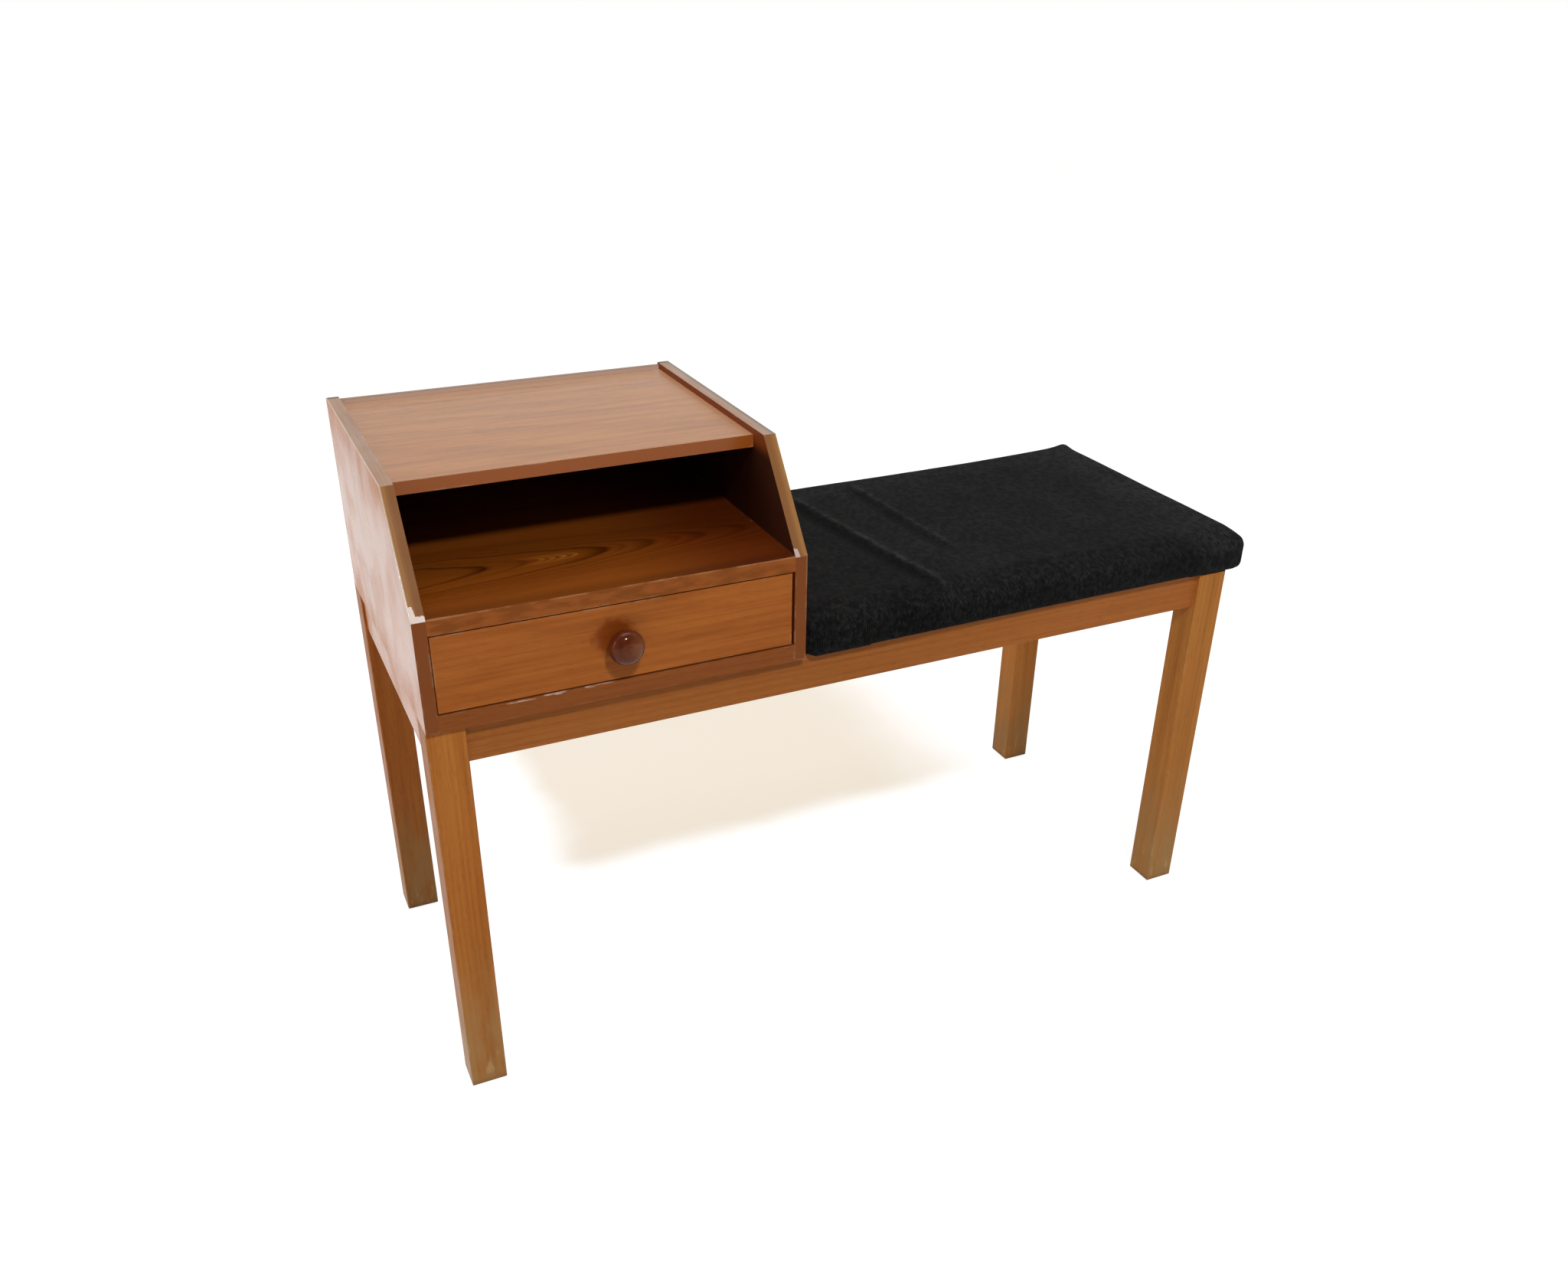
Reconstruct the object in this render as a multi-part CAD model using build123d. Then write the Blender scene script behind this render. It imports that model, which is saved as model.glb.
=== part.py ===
from build123d import *
import os
from collections import namedtuple

# Telephone bench: a rail frame on four square legs, a cabinet with a directory
# shelf and one drawer at the left end, and an upholstered seat at the right end.
# Millimetres. The bench is drawn with x = 0 on the left legs' outer faces,
# y = 0 on the cabinet's front edge and z = 0 on the floor, and every piece is
# then moved so that the origin is under the middle of the whole bench.

# ---------------------------------------------------------------- frame sizes
FRAME_LENGTH = 900.0
FRAME_HEIGHT = 422.0
FRAME_SETBACK = 4.0          # front legs' faces behind the cabinet's front
FRAME_STEP_BACK = 3.5        # back legs' faces behind the cabinet's back

LEG_WIDTH = 36.0
LEG_DEPTH = 35.0
LEG_ARRIS = 1.5
FOOT_CHAMFER = 2.0

RAIL_HEIGHT = 40.5
RAIL_THICKNESS = 20.0
RAIL_ARRIS = 1.2
LONG_RAIL_SETBACK = 5.5      # front and back rails behind the legs' faces
SIDE_RAIL_SETBACK = 2.5

TENON_THICKNESS = 9.0
TENON_LENGTH = 16.0
TENON_SHOULDER = 6.0         # above and below each tenon

CROSS_RAIL_WIDTH = 70.0
CROSS_RAIL_THICKNESS = 22.0
CROSS_TENON_LENGTH = 10.0
CROSS_TENON_SHOULDER = 6.0

BLOCK_LEG = 46.0             # the short sides of a corner block
BLOCK_NOSE = 7.0             # blunted points of a corner block
BLOCK_HEIGHT = 28.0

# -------------------------------------------------------------- cabinet sizes
CABINET_WIDTH = 370.0
CABINET_DEPTH = 360.0
SIDE_HEIGHT = 205.0
SIDE_THICKNESS = 12.4
FRONT_EDGE_HEIGHT = 109.0    # where the slope of the side panels starts
SLOPE_RUN = 74.0             # how far the slope leans back

BOTTOM_THICKNESS = 17.0
DRAWER_OPENING = 77.3
SHELF_THICKNESS = 15.5
TOP_THICKNESS = 12.3
TOP_DROP = 6.4               # top board below the side panels' top edges
TOP_SETBACK = 98.0           # top board's front edge behind the cabinet's front
BACK_THICKNESS = 5.0
BACK_LIP = 4.4               # back panel above the top board

DOWEL_DIAMETER = 6.0
DOWEL_IN_SIDE = 8.0
DOWEL_IN_BOARD = 18.0
DOWEL_END_INSET = 45.0       # dowels in from a board's front and back edges

# --------------------------------------------------------------- drawer sizes
DRAWER_GAP_LEFT = 0.8
DRAWER_GAP_RIGHT = 2.4
DRAWER_GAP_TOP = 1.5
DRAWER_GAP_BELOW_FRONT = 1.3
DRAWER_RUNNING_GAP = 0.3
DRAWER_RECESS = 1.0
FRONT_THICKNESS = 16.0
FRONT_LAP = 5.0              # wood left in front of the dovetails
DRAWER_SIDE_THICKNESS = 10.0
DRAWER_BACK_THICKNESS = 10.0
DRAWER_BACK_DROP = 9.0       # the drawer's back below its sides
DRAWER_BOTTOM_THICKNESS = 4.0
GROOVE_DEPTH = 5.0
GROOVE_HEIGHT = 7.0          # groove above the sides' lower edges

TAIL_COUNT = 3
TAIL_SLOPE = 6.0             # one in six
HALF_PIN = 5.0

STOP_WIDTH = 24.0
STOP_DEPTH = 27.7            # from the closed drawer to the back panel
STOP_HEIGHT = 10.0
STOP_INSET = 40.0

KNOB_DIAMETER = 34.0
KNOB_PROJECTION = 24.0
KNOB_WIDEST = 12.0           # the widest ring in front of the drawer
KNOB_NECK_DIAMETER = 16.0
KNOB_FOOT_DIAMETER = 19.0
KNOB_FOOT = 1.5              # rim of the foot
KNOB_NECK_AT = 4.0           # narrowest ring in front of the drawer
KNOB_FACE_DIAMETER = 12.0    # nearly flat middle of the turned face
KNOB_FACE_RISE = 0.8

# ----------------------------------------------------------------- seat sizes
SEAT_GAP = 1.0               # between the cabinet and the pad
SEAT_OVERHANG = 21.5         # pad beyond the right legs
SEAT_LAP_FRONT = 6.5         # pad in front of the front legs' faces
SEAT_SETBACK = 13.5          # pad's back edge in front of the back legs' faces
SEAT_THICKNESS = 45.0
SEAT_CROWN = 3.0             # middle of the pad above its edges
SEAT_DRAW_IN_FRONT = 1.5     # sides pulled in between the corners
SEAT_DRAW_IN_BACK = 4.5
SEAT_DRAW_IN_END = 2.0
SEAT_CORNER = 17.0
SEAT_ROLL_TOP = 15.0
SEAT_ROLL_BOTTOM = 9.0
COVER_THICKNESS = 1.5
COVER_HEM = 34.0             # cover turned in under the board
SEAT_BOARD_THICKNESS = 12.0
SEAT_BOARD_INSET = 9.5       # board inside the pad's outline
SOFT_GAP = 0.3

# ------------------------------------------------------------ fixings and fits
SCREW_DIAMETER = 4.5
SCREW_HEAD_DIAMETER = 9.0
SCREW_HEAD_HEIGHT = 3.0
SCREW_BITE = 10.0            # screw inside the board that it holds
SCREW_SPREAD = 24.0          # cross rail screws either side of its middle line
SCREW_INSET = 95.0           # cross rail screws in from its ends
KNOB_SCREW_DIAMETER = 4.0
KNOB_SCREW_HEAD = 9.0
KNOB_SCREW_BITE = 13.0

GLUE_GAP = 0.1               # round tenons, tails and dowels
SCREW_GAP = 0.2              # round the screws

# ---------------------------------------------------------------- worked sizes
leg_front = FRAME_SETBACK
leg_back = CABINET_DEPTH + FRAME_STEP_BACK
rail_bottom = FRAME_HEIGHT - RAIL_HEIGHT
long_rail_front = leg_front + LONG_RAIL_SETBACK
long_rail_back = leg_back - LONG_RAIL_SETBACK

inner_left = SIDE_THICKNESS
inner_right = CABINET_WIDTH - SIDE_THICKNESS
back_panel_front = CABINET_DEPTH - BACK_THICKNESS
bottom_top = FRAME_HEIGHT + BOTTOM_THICKNESS
shelf_bottom = bottom_top + DRAWER_OPENING
shelf_top = shelf_bottom + SHELF_THICKNESS
side_top = FRAME_HEIGHT + SIDE_HEIGHT
top_board_top = side_top - TOP_DROP
top_board_bottom = top_board_top - TOP_THICKNESS

drawer_left = inner_left + DRAWER_GAP_LEFT
drawer_right = inner_right - DRAWER_GAP_RIGHT
drawer_front = DRAWER_RECESS
drawer_rear = back_panel_front - STOP_DEPTH - DRAWER_RUNNING_GAP
drawer_low = bottom_top + DRAWER_RUNNING_GAP
drawer_high = shelf_bottom - DRAWER_GAP_TOP
front_rear = drawer_front + FRONT_THICKNESS
box_left = drawer_left + DRAWER_SIDE_THICKNESS
box_right = drawer_right - DRAWER_SIDE_THICKNESS
back_low = drawer_low + GROOVE_HEIGHT + DRAWER_BOTTOM_THICKNESS + 2 * GLUE_GAP
back_high = drawer_high - DRAWER_BACK_DROP
back_front = drawer_rear - DRAWER_BACK_THICKNESS
knob_x = (drawer_left + drawer_right) / 2
knob_z = (drawer_low + drawer_high) / 2

seat_start = CABINET_WIDTH + SEAT_GAP
seat_end = FRAME_LENGTH + SEAT_OVERHANG
seat_front = leg_front - SEAT_LAP_FRONT
seat_back = leg_back - SEAT_SETBACK
seat_base = FRAME_HEIGHT + SOFT_GAP
cross_rail_x = CABINET_WIDTH
board_base = seat_base + COVER_THICKNESS + SOFT_GAP

knob_tip = drawer_front - KNOB_PROJECTION
bench_right = max(FRAME_LENGTH, seat_end)
bench_front = min(knob_tip, seat_front, leg_front)
bench_back = max(leg_back, CABINET_DEPTH, seat_back)
ORIGIN = Location((-bench_right / 2, -(bench_front + bench_back) / 2, 0))

Span = namedtuple("Span", "x0 x1 y0 y1 z0 z1")


# -------------------------------------------------------------------- helpers
def board(span):
    """A rectangular piece of wood that fills a span."""
    centre = ((span.x0 + span.x1) / 2, (span.y0 + span.y1) / 2, (span.z0 + span.z1) / 2)
    return Pos(*centre) * Box(span.x1 - span.x0, span.y1 - span.y0, span.z1 - span.z0)


def grown(span, gap):
    """The same span, larger by a gap on every side."""
    return Span(span.x0 - gap, span.x1 + gap, span.y0 - gap, span.y1 + gap,
                span.z0 - gap, span.z1 + gap)


def rod(start, axis, diameter, length):
    """A round bar from a start point along an axis, such as a dowel or a shank."""
    plane = Plane(origin=start, z_dir=axis)
    return extrude(plane * Circle(diameter / 2), length)


def group(solids):
    """Identical pieces that share one node, as separate solids."""
    return Compound([solid for piece in solids for solid in piece.solids()])


# ---------------------------------------------------------------- rail frame
def long_rail_span(front):
    y0 = long_rail_front if front else long_rail_back - RAIL_THICKNESS
    return Span(LEG_WIDTH, FRAME_LENGTH - LEG_WIDTH, y0, y0 + RAIL_THICKNESS,
                rail_bottom, FRAME_HEIGHT)


def side_rail_span(left):
    x0 = SIDE_RAIL_SETBACK if left else FRAME_LENGTH - SIDE_RAIL_SETBACK - RAIL_THICKNESS
    return Span(x0, x0 + RAIL_THICKNESS, leg_front + LEG_DEPTH, leg_back - LEG_DEPTH,
                rail_bottom, FRAME_HEIGHT)


def long_rail_tenons(front):
    """Stub tenons at both ends of the front or back rail."""
    rail = long_rail_span(front)
    middle = (rail.y0 + rail.y1) / 2
    low, high = rail.z0 + TENON_SHOULDER, rail.z1 - TENON_SHOULDER
    y0, y1 = middle - TENON_THICKNESS / 2, middle + TENON_THICKNESS / 2
    return [Span(rail.x0 - TENON_LENGTH, rail.x0, y0, y1, low, high),
            Span(rail.x1, rail.x1 + TENON_LENGTH, y0, y1, low, high)]


def side_rail_tenons(left):
    """Stub tenons at both ends of a side rail."""
    rail = side_rail_span(left)
    middle = (rail.x0 + rail.x1) / 2
    low, high = rail.z0 + TENON_SHOULDER, rail.z1 - TENON_SHOULDER
    x0, x1 = middle - TENON_THICKNESS / 2, middle + TENON_THICKNESS / 2
    return [Span(x0, x1, rail.y0 - TENON_LENGTH, rail.y0, low, high),
            Span(x0, x1, rail.y1, rail.y1 + TENON_LENGTH, low, high)]


def cross_rail_span():
    half = CROSS_RAIL_WIDTH / 2
    return Span(cross_rail_x - half, cross_rail_x + half,
                long_rail_front + RAIL_THICKNESS, long_rail_back - RAIL_THICKNESS,
                FRAME_HEIGHT - CROSS_RAIL_THICKNESS, FRAME_HEIGHT)


def cross_rail_tenons():
    rail = cross_rail_span()
    x0, x1 = rail.x0 + CROSS_TENON_SHOULDER, rail.x1 - CROSS_TENON_SHOULDER
    z0, z1 = rail.z0 + CROSS_TENON_SHOULDER, rail.z1 - CROSS_TENON_SHOULDER
    return [Span(x0, x1, rail.y0 - CROSS_TENON_LENGTH, rail.y0, z0, z1),
            Span(x0, x1, rail.y1, rail.y1 + CROSS_TENON_LENGTH, z0, z1)]


def leg(left, front):
    """A square leg with eased arrises, a chamfered foot and two mortises."""
    x0 = 0.0 if left else FRAME_LENGTH - LEG_WIDTH
    y0 = leg_front if front else leg_back - LEG_DEPTH
    solid = board(Span(x0, x0 + LEG_WIDTH, y0, y0 + LEG_DEPTH, 0, FRAME_HEIGHT))
    foot = solid.faces().sort_by(Axis.Z)[0]
    solid = chamfer(foot.edges(), FOOT_CHAMFER)
    solid = fillet(solid.edges().filter_by(Axis.Z), LEG_ARRIS)
    long_tenon = long_rail_tenons(front)[0 if left else 1]
    side_tenon = side_rail_tenons(left)[0 if front else 1]
    return solid - board(grown(long_tenon, GLUE_GAP)) - board(grown(side_tenon, GLUE_GAP))


def eased(solid, axis):
    """The four long arrises of a rail, lightly rounded."""
    return fillet(solid.edges().filter_by(axis), RAIL_ARRIS)


def long_rail(front):
    solid = eased(board(long_rail_span(front)), Axis.X)
    for tenon in long_rail_tenons(front):
        solid += board(tenon)
    cross_tenon = cross_rail_tenons()[0 if front else 1]
    return solid - board(grown(cross_tenon, GLUE_GAP))


def side_rail(left):
    solid = eased(board(side_rail_span(left)), Axis.Y)
    for tenon in side_rail_tenons(left):
        solid += board(tenon)
    return solid


def cross_rail():
    """The flat rail under the joint between the cabinet and the seat."""
    solid = board(cross_rail_span())
    for tenon in cross_rail_tenons():
        solid += board(tenon)
    for screw in cross_rail_screws():
        solid -= screw_hole(screw)
    return solid


# Each screw is a start point under its head, and the height where its board starts.
Screw = namedtuple("Screw", "x y z seat")


def block_corner(left, front):
    """The corner between the inner faces of two rails, and the way into the frame."""
    x = side_rail_span(left).x1 if left else side_rail_span(left).x0
    y = long_rail_span(front).y1 if front else long_rail_span(front).y0
    return x, y, (1 if left else -1), (1 if front else -1)


def block_screw(left, front):
    """The screw of a corner block, with its head just clear of the leg."""
    x, y, dx, dy = block_corner(left, front)
    reach = LEG_WIDTH - (SIDE_RAIL_SETBACK + RAIL_THICKNESS) + SCREW_HEAD_DIAMETER / 2
    seat = FRAME_HEIGHT if left else board_base
    return Screw(x + dx * reach, y + dy * reach, FRAME_HEIGHT - BLOCK_HEIGHT, seat)


def cross_rail_screws():
    rail = cross_rail_span()
    rows = [rail.y0 + SCREW_INSET, rail.y1 - SCREW_INSET]
    sides = [(-SCREW_SPREAD, FRAME_HEIGHT), (SCREW_SPREAD, board_base)]
    return [Screw(cross_rail_x + shift, y, rail.z0, seat) for shift, seat in sides for y in rows]


def screw_hole(screw):
    length = screw.seat + SCREW_BITE - screw.z
    return rod((screw.x, screw.y, screw.z - SCREW_GAP), (0, 0, 1),
               SCREW_DIAMETER + 2 * SCREW_GAP, length + 2 * SCREW_GAP)


def wood_screw(screw):
    """A plain screw driven upwards, its head under the wood."""
    under_head = (screw.x, screw.y, screw.z)
    shank = rod(under_head, (0, 0, 1), SCREW_DIAMETER, screw.seat + SCREW_BITE - screw.z)
    return shank + rod(under_head, (0, 0, -1), SCREW_HEAD_DIAMETER, SCREW_HEAD_HEIGHT)


def corner_block(left, front):
    """A three-cornered glue block with blunted points, bored for one screw."""
    x, y, dx, dy = block_corner(left, front)
    leg_x = LEG_WIDTH if left else FRAME_LENGTH - LEG_WIDTH
    leg_y = leg_front + LEG_DEPTH if front else leg_back - LEG_DEPTH
    x_far, y_far = x + dx * BLOCK_LEG, y + dy * BLOCK_LEG
    outline = Polyline((x_far, y), (x_far, y + dy * BLOCK_NOSE), (x + dx * BLOCK_NOSE, y_far),
                       (x, y_far), (x, leg_y), (leg_x, leg_y), (leg_x, y), close=True)
    low = FRAME_HEIGHT - BLOCK_HEIGHT
    block = extrude(Pos(0, 0, low) * make_face(outline), BLOCK_HEIGHT, dir=(0, 0, 1))
    return block - screw_hole(block_screw(left, front))


CORNERS = [(left, front) for left in (True, False) for front in (True, False)]


def cabinet_screw_list():
    return [block_screw(True, True), block_screw(True, False)] + cross_rail_screws()[:2]


def seat_screw_list():
    return [block_screw(False, True), block_screw(False, False)] + cross_rail_screws()[2:]


# -------------------------------------------------------------------- cabinet
def joint_rows():
    """Each board between the side panels: its middle height, front and back edges."""
    return [((FRAME_HEIGHT + bottom_top) / 2, 0.0),
            ((shelf_bottom + shelf_top) / 2, 0.0),
            ((top_board_bottom + top_board_top) / 2, TOP_SETBACK)]


def dowel_points(row):
    z, front = row
    return [(front + DOWEL_END_INSET, z), (back_panel_front - DOWEL_END_INSET, z)]


def dowel(left, y, z, gap=0.0):
    """A dowel across the joint between a side panel and a board."""
    joint = inner_left if left else inner_right
    outward = -1 if left else 1
    start = joint + outward * (DOWEL_IN_SIDE + gap)
    length = DOWEL_IN_SIDE + DOWEL_IN_BOARD + 2 * gap
    return rod((start, y, z), (-outward, 0, 0), DOWEL_DIAMETER + 2 * gap, length)


def dowel_holes(rows, left):
    return [dowel(left, y, z, GLUE_GAP) for row in rows for y, z in dowel_points(row)]


def side_panel(left):
    """A side panel: upright front edge, then a slope back to the top edge."""
    x0 = 0.0 if left else inner_right
    outline = Polyline((0, FRAME_HEIGHT), (0, FRAME_HEIGHT + FRONT_EDGE_HEIGHT),
                       (SLOPE_RUN, side_top), (CABINET_DEPTH, side_top),
                       (CABINET_DEPTH, FRAME_HEIGHT), close=True)
    face = Plane(origin=(x0, 0, 0), x_dir=(0, 1, 0), z_dir=(1, 0, 0)) * make_face(outline)
    panel = extrude(face, SIDE_THICKNESS, dir=(1, 0, 0))
    for hole in dowel_holes(joint_rows(), left):
        panel -= hole
    return panel


def cross_board(row, low, high):
    """A board between the side panels, bored for its dowels."""
    solid = board(Span(inner_left, inner_right, row[1], back_panel_front, low, high))
    for left in (True, False):
        for hole in dowel_holes([row], left):
            solid -= hole
    return solid


def bottom_board():
    solid = cross_board(joint_rows()[0], FRAME_HEIGHT, bottom_top)
    for screw in cabinet_screw_list():
        solid -= screw_hole(screw)
    return solid


def shelf_board():
    return cross_board(joint_rows()[1], shelf_bottom, shelf_top)


def top_board():
    return cross_board(joint_rows()[2], top_board_bottom, top_board_top)


def back_panel():
    return board(Span(inner_left, inner_right, back_panel_front, CABINET_DEPTH,
                      FRAME_HEIGHT, top_board_top + BACK_LIP))


def cabinet_dowels():
    return group(dowel(left, y, z) for left in (True, False)
                 for row in joint_rows() for y, z in dowel_points(row))


def drawer_stops():
    """Two small blocks on the bottom board that stop the closed drawer."""
    y0 = back_panel_front - STOP_DEPTH
    stops = []
    for x0 in (inner_left + STOP_INSET, inner_right - STOP_INSET - STOP_WIDTH):
        stops.append(board(Span(x0, x0 + STOP_WIDTH, y0, back_panel_front,
                                bottom_top, bottom_top + STOP_HEIGHT)))
    return group(stops)


# --------------------------------------------------------------------- drawer
def tails(left, low, high, root, tip, gap=0.0):
    """Dovetails of a drawer side, from their root to their wider tips."""
    x0 = drawer_left if left else box_right
    pitch = (high - low) / TAIL_COUNT
    depth = abs(tip - root)
    flare = depth / TAIL_SLOPE
    half_tip = (pitch - HALF_PIN) / 2 + gap
    half_root = half_tip - flare
    toward = 1 if tip > root else -1
    shapes = []
    for index in range(TAIL_COUNT):
        middle = low + pitch * (index + 0.5)
        tip_y = tip + toward * gap
        outline = Polyline((root, middle - half_root), (tip_y, middle - half_tip),
                           (tip_y, middle + half_tip), (root, middle + half_root), close=True)
        plane = Plane(origin=(x0, 0, 0), x_dir=(0, 1, 0), z_dir=(1, 0, 0))
        shapes.append(extrude(plane * make_face(outline), DRAWER_SIDE_THICKNESS, dir=(1, 0, 0)))
    return shapes


def front_tails(left, gap=0.0):
    return tails(left, drawer_low, drawer_high, front_rear, drawer_front + FRONT_LAP, gap)


def rear_tails(left, gap=0.0):
    return tails(left, back_low, back_high, back_front, drawer_rear, gap)


def bottom_span():
    """The drawer bottom, from its groove in the front to the back's rear face."""
    low = drawer_low + GROOVE_HEIGHT + GLUE_GAP
    return Span(box_left - GROOVE_DEPTH + GLUE_GAP, box_right + GROOVE_DEPTH - GLUE_GAP,
                front_rear - GROOVE_DEPTH + GLUE_GAP, drawer_rear,
                low, low + DRAWER_BOTTOM_THICKNESS)


def groove():
    return board(grown(bottom_span(), GLUE_GAP))


def drawer_side(left):
    """A drawer side with tails for the front, tails for the back and a groove."""
    x0 = drawer_left if left else box_right
    x1 = x0 + DRAWER_SIDE_THICKNESS
    solid = board(Span(x0, x1, front_rear, drawer_rear, drawer_low, drawer_high))
    socket = board(Span(x0, x1, back_front, drawer_rear, back_low, back_high))
    for tail in rear_tails(left):
        socket -= tail
    solid -= socket
    for tail in front_tails(left):
        solid += tail
    return solid - groove()


def drawer_front_board():
    """The drawer's face, with half-blind sockets for the sides' tails."""
    low = bottom_top + DRAWER_GAP_BELOW_FRONT
    solid = board(Span(drawer_left, drawer_right, drawer_front, front_rear, low, drawer_high))
    for left in (True, False):
        for tail in front_tails(left, GLUE_GAP):
            solid -= tail
    hole = rod((knob_x, front_rear, knob_z), (0, -1, 0),
               KNOB_SCREW_DIAMETER + 2 * SCREW_GAP, FRONT_THICKNESS)
    return solid - groove() - hole


def drawer_back_board():
    """The drawer's back, whose pins fill the gaps between the sides' tails."""
    solid = board(Span(drawer_left, drawer_right, back_front, drawer_rear, back_low, back_high))
    for left in (True, False):
        for tail in rear_tails(left, GLUE_GAP):
            solid -= tail
    return solid


def drawer_bottom():
    return board(bottom_span())


def drawer_knob():
    """A turned knob: small foot, waisted neck, round head with a flatter middle."""
    head, neck = KNOB_DIAMETER / 2, KNOB_NECK_DIAMETER / 2
    foot, face = KNOB_FOOT_DIAMETER / 2, KNOB_FACE_DIAMETER / 2
    shoulder = KNOB_PROJECTION - KNOB_FACE_RISE
    foot_line = Polyline((0, KNOB_PROJECTION), (0, 0), (foot, 0), (foot, KNOB_FOOT),
                         (neck, KNOB_NECK_AT))
    under = EllipticalCenterArc((neck, KNOB_WIDEST), head - neck, KNOB_WIDEST - KNOB_NECK_AT,
                                start_angle=270, arc_size=90)
    front = TangentArc((head, KNOB_WIDEST), (face, shoulder), tangent=(0, 1))
    middle = TangentArc((0, KNOB_PROJECTION), (face, shoulder), tangent=(1, 0))
    turned = revolve(make_face([foot_line, under, front, middle]), Axis.Y)
    hole = rod((0, 0, 0), (0, 1, 0), KNOB_SCREW_DIAMETER + 2 * SCREW_GAP,
               KNOB_SCREW_BITE + SCREW_GAP)
    return Pos(knob_x, drawer_front, knob_z) * Rot(0, 0, 180) * (turned - hole)


def knob_screw():
    """The screw that holds the knob, driven from inside the drawer."""
    start = (knob_x, front_rear, knob_z)
    shank = rod(start, (0, -1, 0), KNOB_SCREW_DIAMETER, FRONT_THICKNESS + KNOB_SCREW_BITE)
    return shank + rod(start, (0, 1, 0), KNOB_SCREW_HEAD, SCREW_HEAD_HEIGHT)


# ----------------------------------------------------------------------- seat
def seat_outline(inset):
    """The pad's plan: four shallow arcs that pull in between rounded corners."""
    x0, x1 = seat_start + inset, seat_end - inset
    y0, y1 = seat_front + inset, seat_back - inset
    xm, ym = (x0 + x1) / 2, (y0 + y1) / 2
    front = ThreePointArc((x0, y0), (xm, y0 + SEAT_DRAW_IN_FRONT), (x1, y0))
    end = ThreePointArc((x1, y0), (x1 - SEAT_DRAW_IN_END, ym), (x1, y1))
    back = ThreePointArc((x1, y1), (xm, y1 - SEAT_DRAW_IN_BACK), (x0, y1))
    inner = Line((x0, y1), (x0, y0))
    outline = make_face([front, end, back, inner])
    corner = SEAT_CORNER - inset
    return fillet(outline.vertices(), corner) if corner > 0 else outline


def seat_block(inset, low, high):
    """The pad's outline raised between two heights."""
    return extrude(Pos(0, 0, low) * seat_outline(inset), high - low, dir=(0, 0, 1))


def crowned(block, inset):
    """A block cut to the pad's arched top, with its top edges rolled over."""
    crest = seat_base + SEAT_THICKNESS - inset
    width = seat_back - seat_front
    radius = (width / 2) ** 2 / (2 * SEAT_CROWN) + SEAT_CROWN / 2
    middle_y = (seat_front + seat_back) / 2
    length = seat_end - seat_start + width
    arch = Pos((seat_start + seat_end) / 2, middle_y, crest - radius) * Rot(0, 90, 0) * Cylinder(
        radius, length)
    solid = block & arch
    top = solid.faces().sort_by(Axis.Z)[-1]
    return fillet(top.edges(), SEAT_ROLL_TOP - inset)


def pad_form(inset):
    """The upholstered pad, or the same form a given distance inside its surface."""
    low = seat_base + inset
    high = seat_base + SEAT_THICKNESS + SEAT_CROWN
    solid = crowned(seat_block(inset, low, high), inset)
    base = solid.faces().sort_by(Axis.Z)[0]
    return fillet(base.edges(), SEAT_ROLL_BOTTOM - inset)


def seat_board_solid():
    return seat_block(SEAT_BOARD_INSET, board_base, board_base + SEAT_BOARD_THICKNESS)


def seat_board():
    solid = seat_board_solid()
    for screw in seat_screw_list():
        solid -= screw_hole(screw)
    return solid


def seat_foam():
    """The foam on the board, which hangs over the board's edges a little."""
    foam = pad_form(COVER_THICKNESS + SOFT_GAP)
    recess = seat_block(SEAT_BOARD_INSET - SOFT_GAP, FRAME_HEIGHT - SEAT_THICKNESS,
                        board_base + SEAT_BOARD_THICKNESS + SOFT_GAP)
    return foam - recess


def seat_cover():
    """The wool cover: a skin over the foam, turned in under the board as a hem."""
    skin = pad_form(0.0) - pad_form(COVER_THICKNESS)
    skin -= seat_block(COVER_HEM, FRAME_HEIGHT - SEAT_THICKNESS, board_base)
    for screw in seat_screw_list():
        skin -= screw_hole(screw)
    return skin


# --------------------------------------------------------------------- output
def pieces():
    """Every piece of the bench by name."""
    made = {}
    names = {(True, True): "leg_front_left", (True, False): "leg_back_left",
             (False, True): "leg_front_right", (False, False): "leg_back_right"}
    for left, front in CORNERS:
        made[names[left, front]] = leg(left, front)
    made["rail_front"] = long_rail(True)
    made["rail_back"] = long_rail(False)
    made["rail_left"] = side_rail(True)
    made["rail_right"] = side_rail(False)
    made["cross_rail"] = cross_rail()
    made["corner_blocks"] = group(corner_block(left, front) for left, front in CORNERS)
    made["cabinet_screws"] = group(wood_screw(screw) for screw in cabinet_screw_list())
    made["seat_screws"] = group(wood_screw(screw) for screw in seat_screw_list())
    made["side_panel_left"] = side_panel(True)
    made["side_panel_right"] = side_panel(False)
    made["bottom_board"] = bottom_board()
    made["shelf_board"] = shelf_board()
    made["top_board"] = top_board()
    made["back_panel"] = back_panel()
    made["cabinet_dowels"] = cabinet_dowels()
    made["drawer_stops"] = drawer_stops()
    made["drawer_front"] = drawer_front_board()
    made["drawer_side_left"] = drawer_side(True)
    made["drawer_side_right"] = drawer_side(False)
    made["drawer_back"] = drawer_back_board()
    made["drawer_bottom"] = drawer_bottom()
    made["drawer_knob"] = drawer_knob()
    made["knob_screw"] = knob_screw()
    made["seat_board"] = seat_board()
    made["seat_foam"] = seat_foam()
    made["seat_cover"] = seat_cover()
    return made


def placed(piece):
    """A piece moved so that the origin is under the middle of the bench."""
    solids = [ORIGIN * solid for solid in piece.solids()]
    return solids[0] if len(solids) == 1 else Compound(solids)


os.makedirs("parts", exist_ok=True)
for name, piece in pieces().items():
    export_step(placed(piece), "parts/" + name + ".step")
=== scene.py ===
import math

import bmesh
import bpy
from mathutils import Euler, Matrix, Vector, noise


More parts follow.
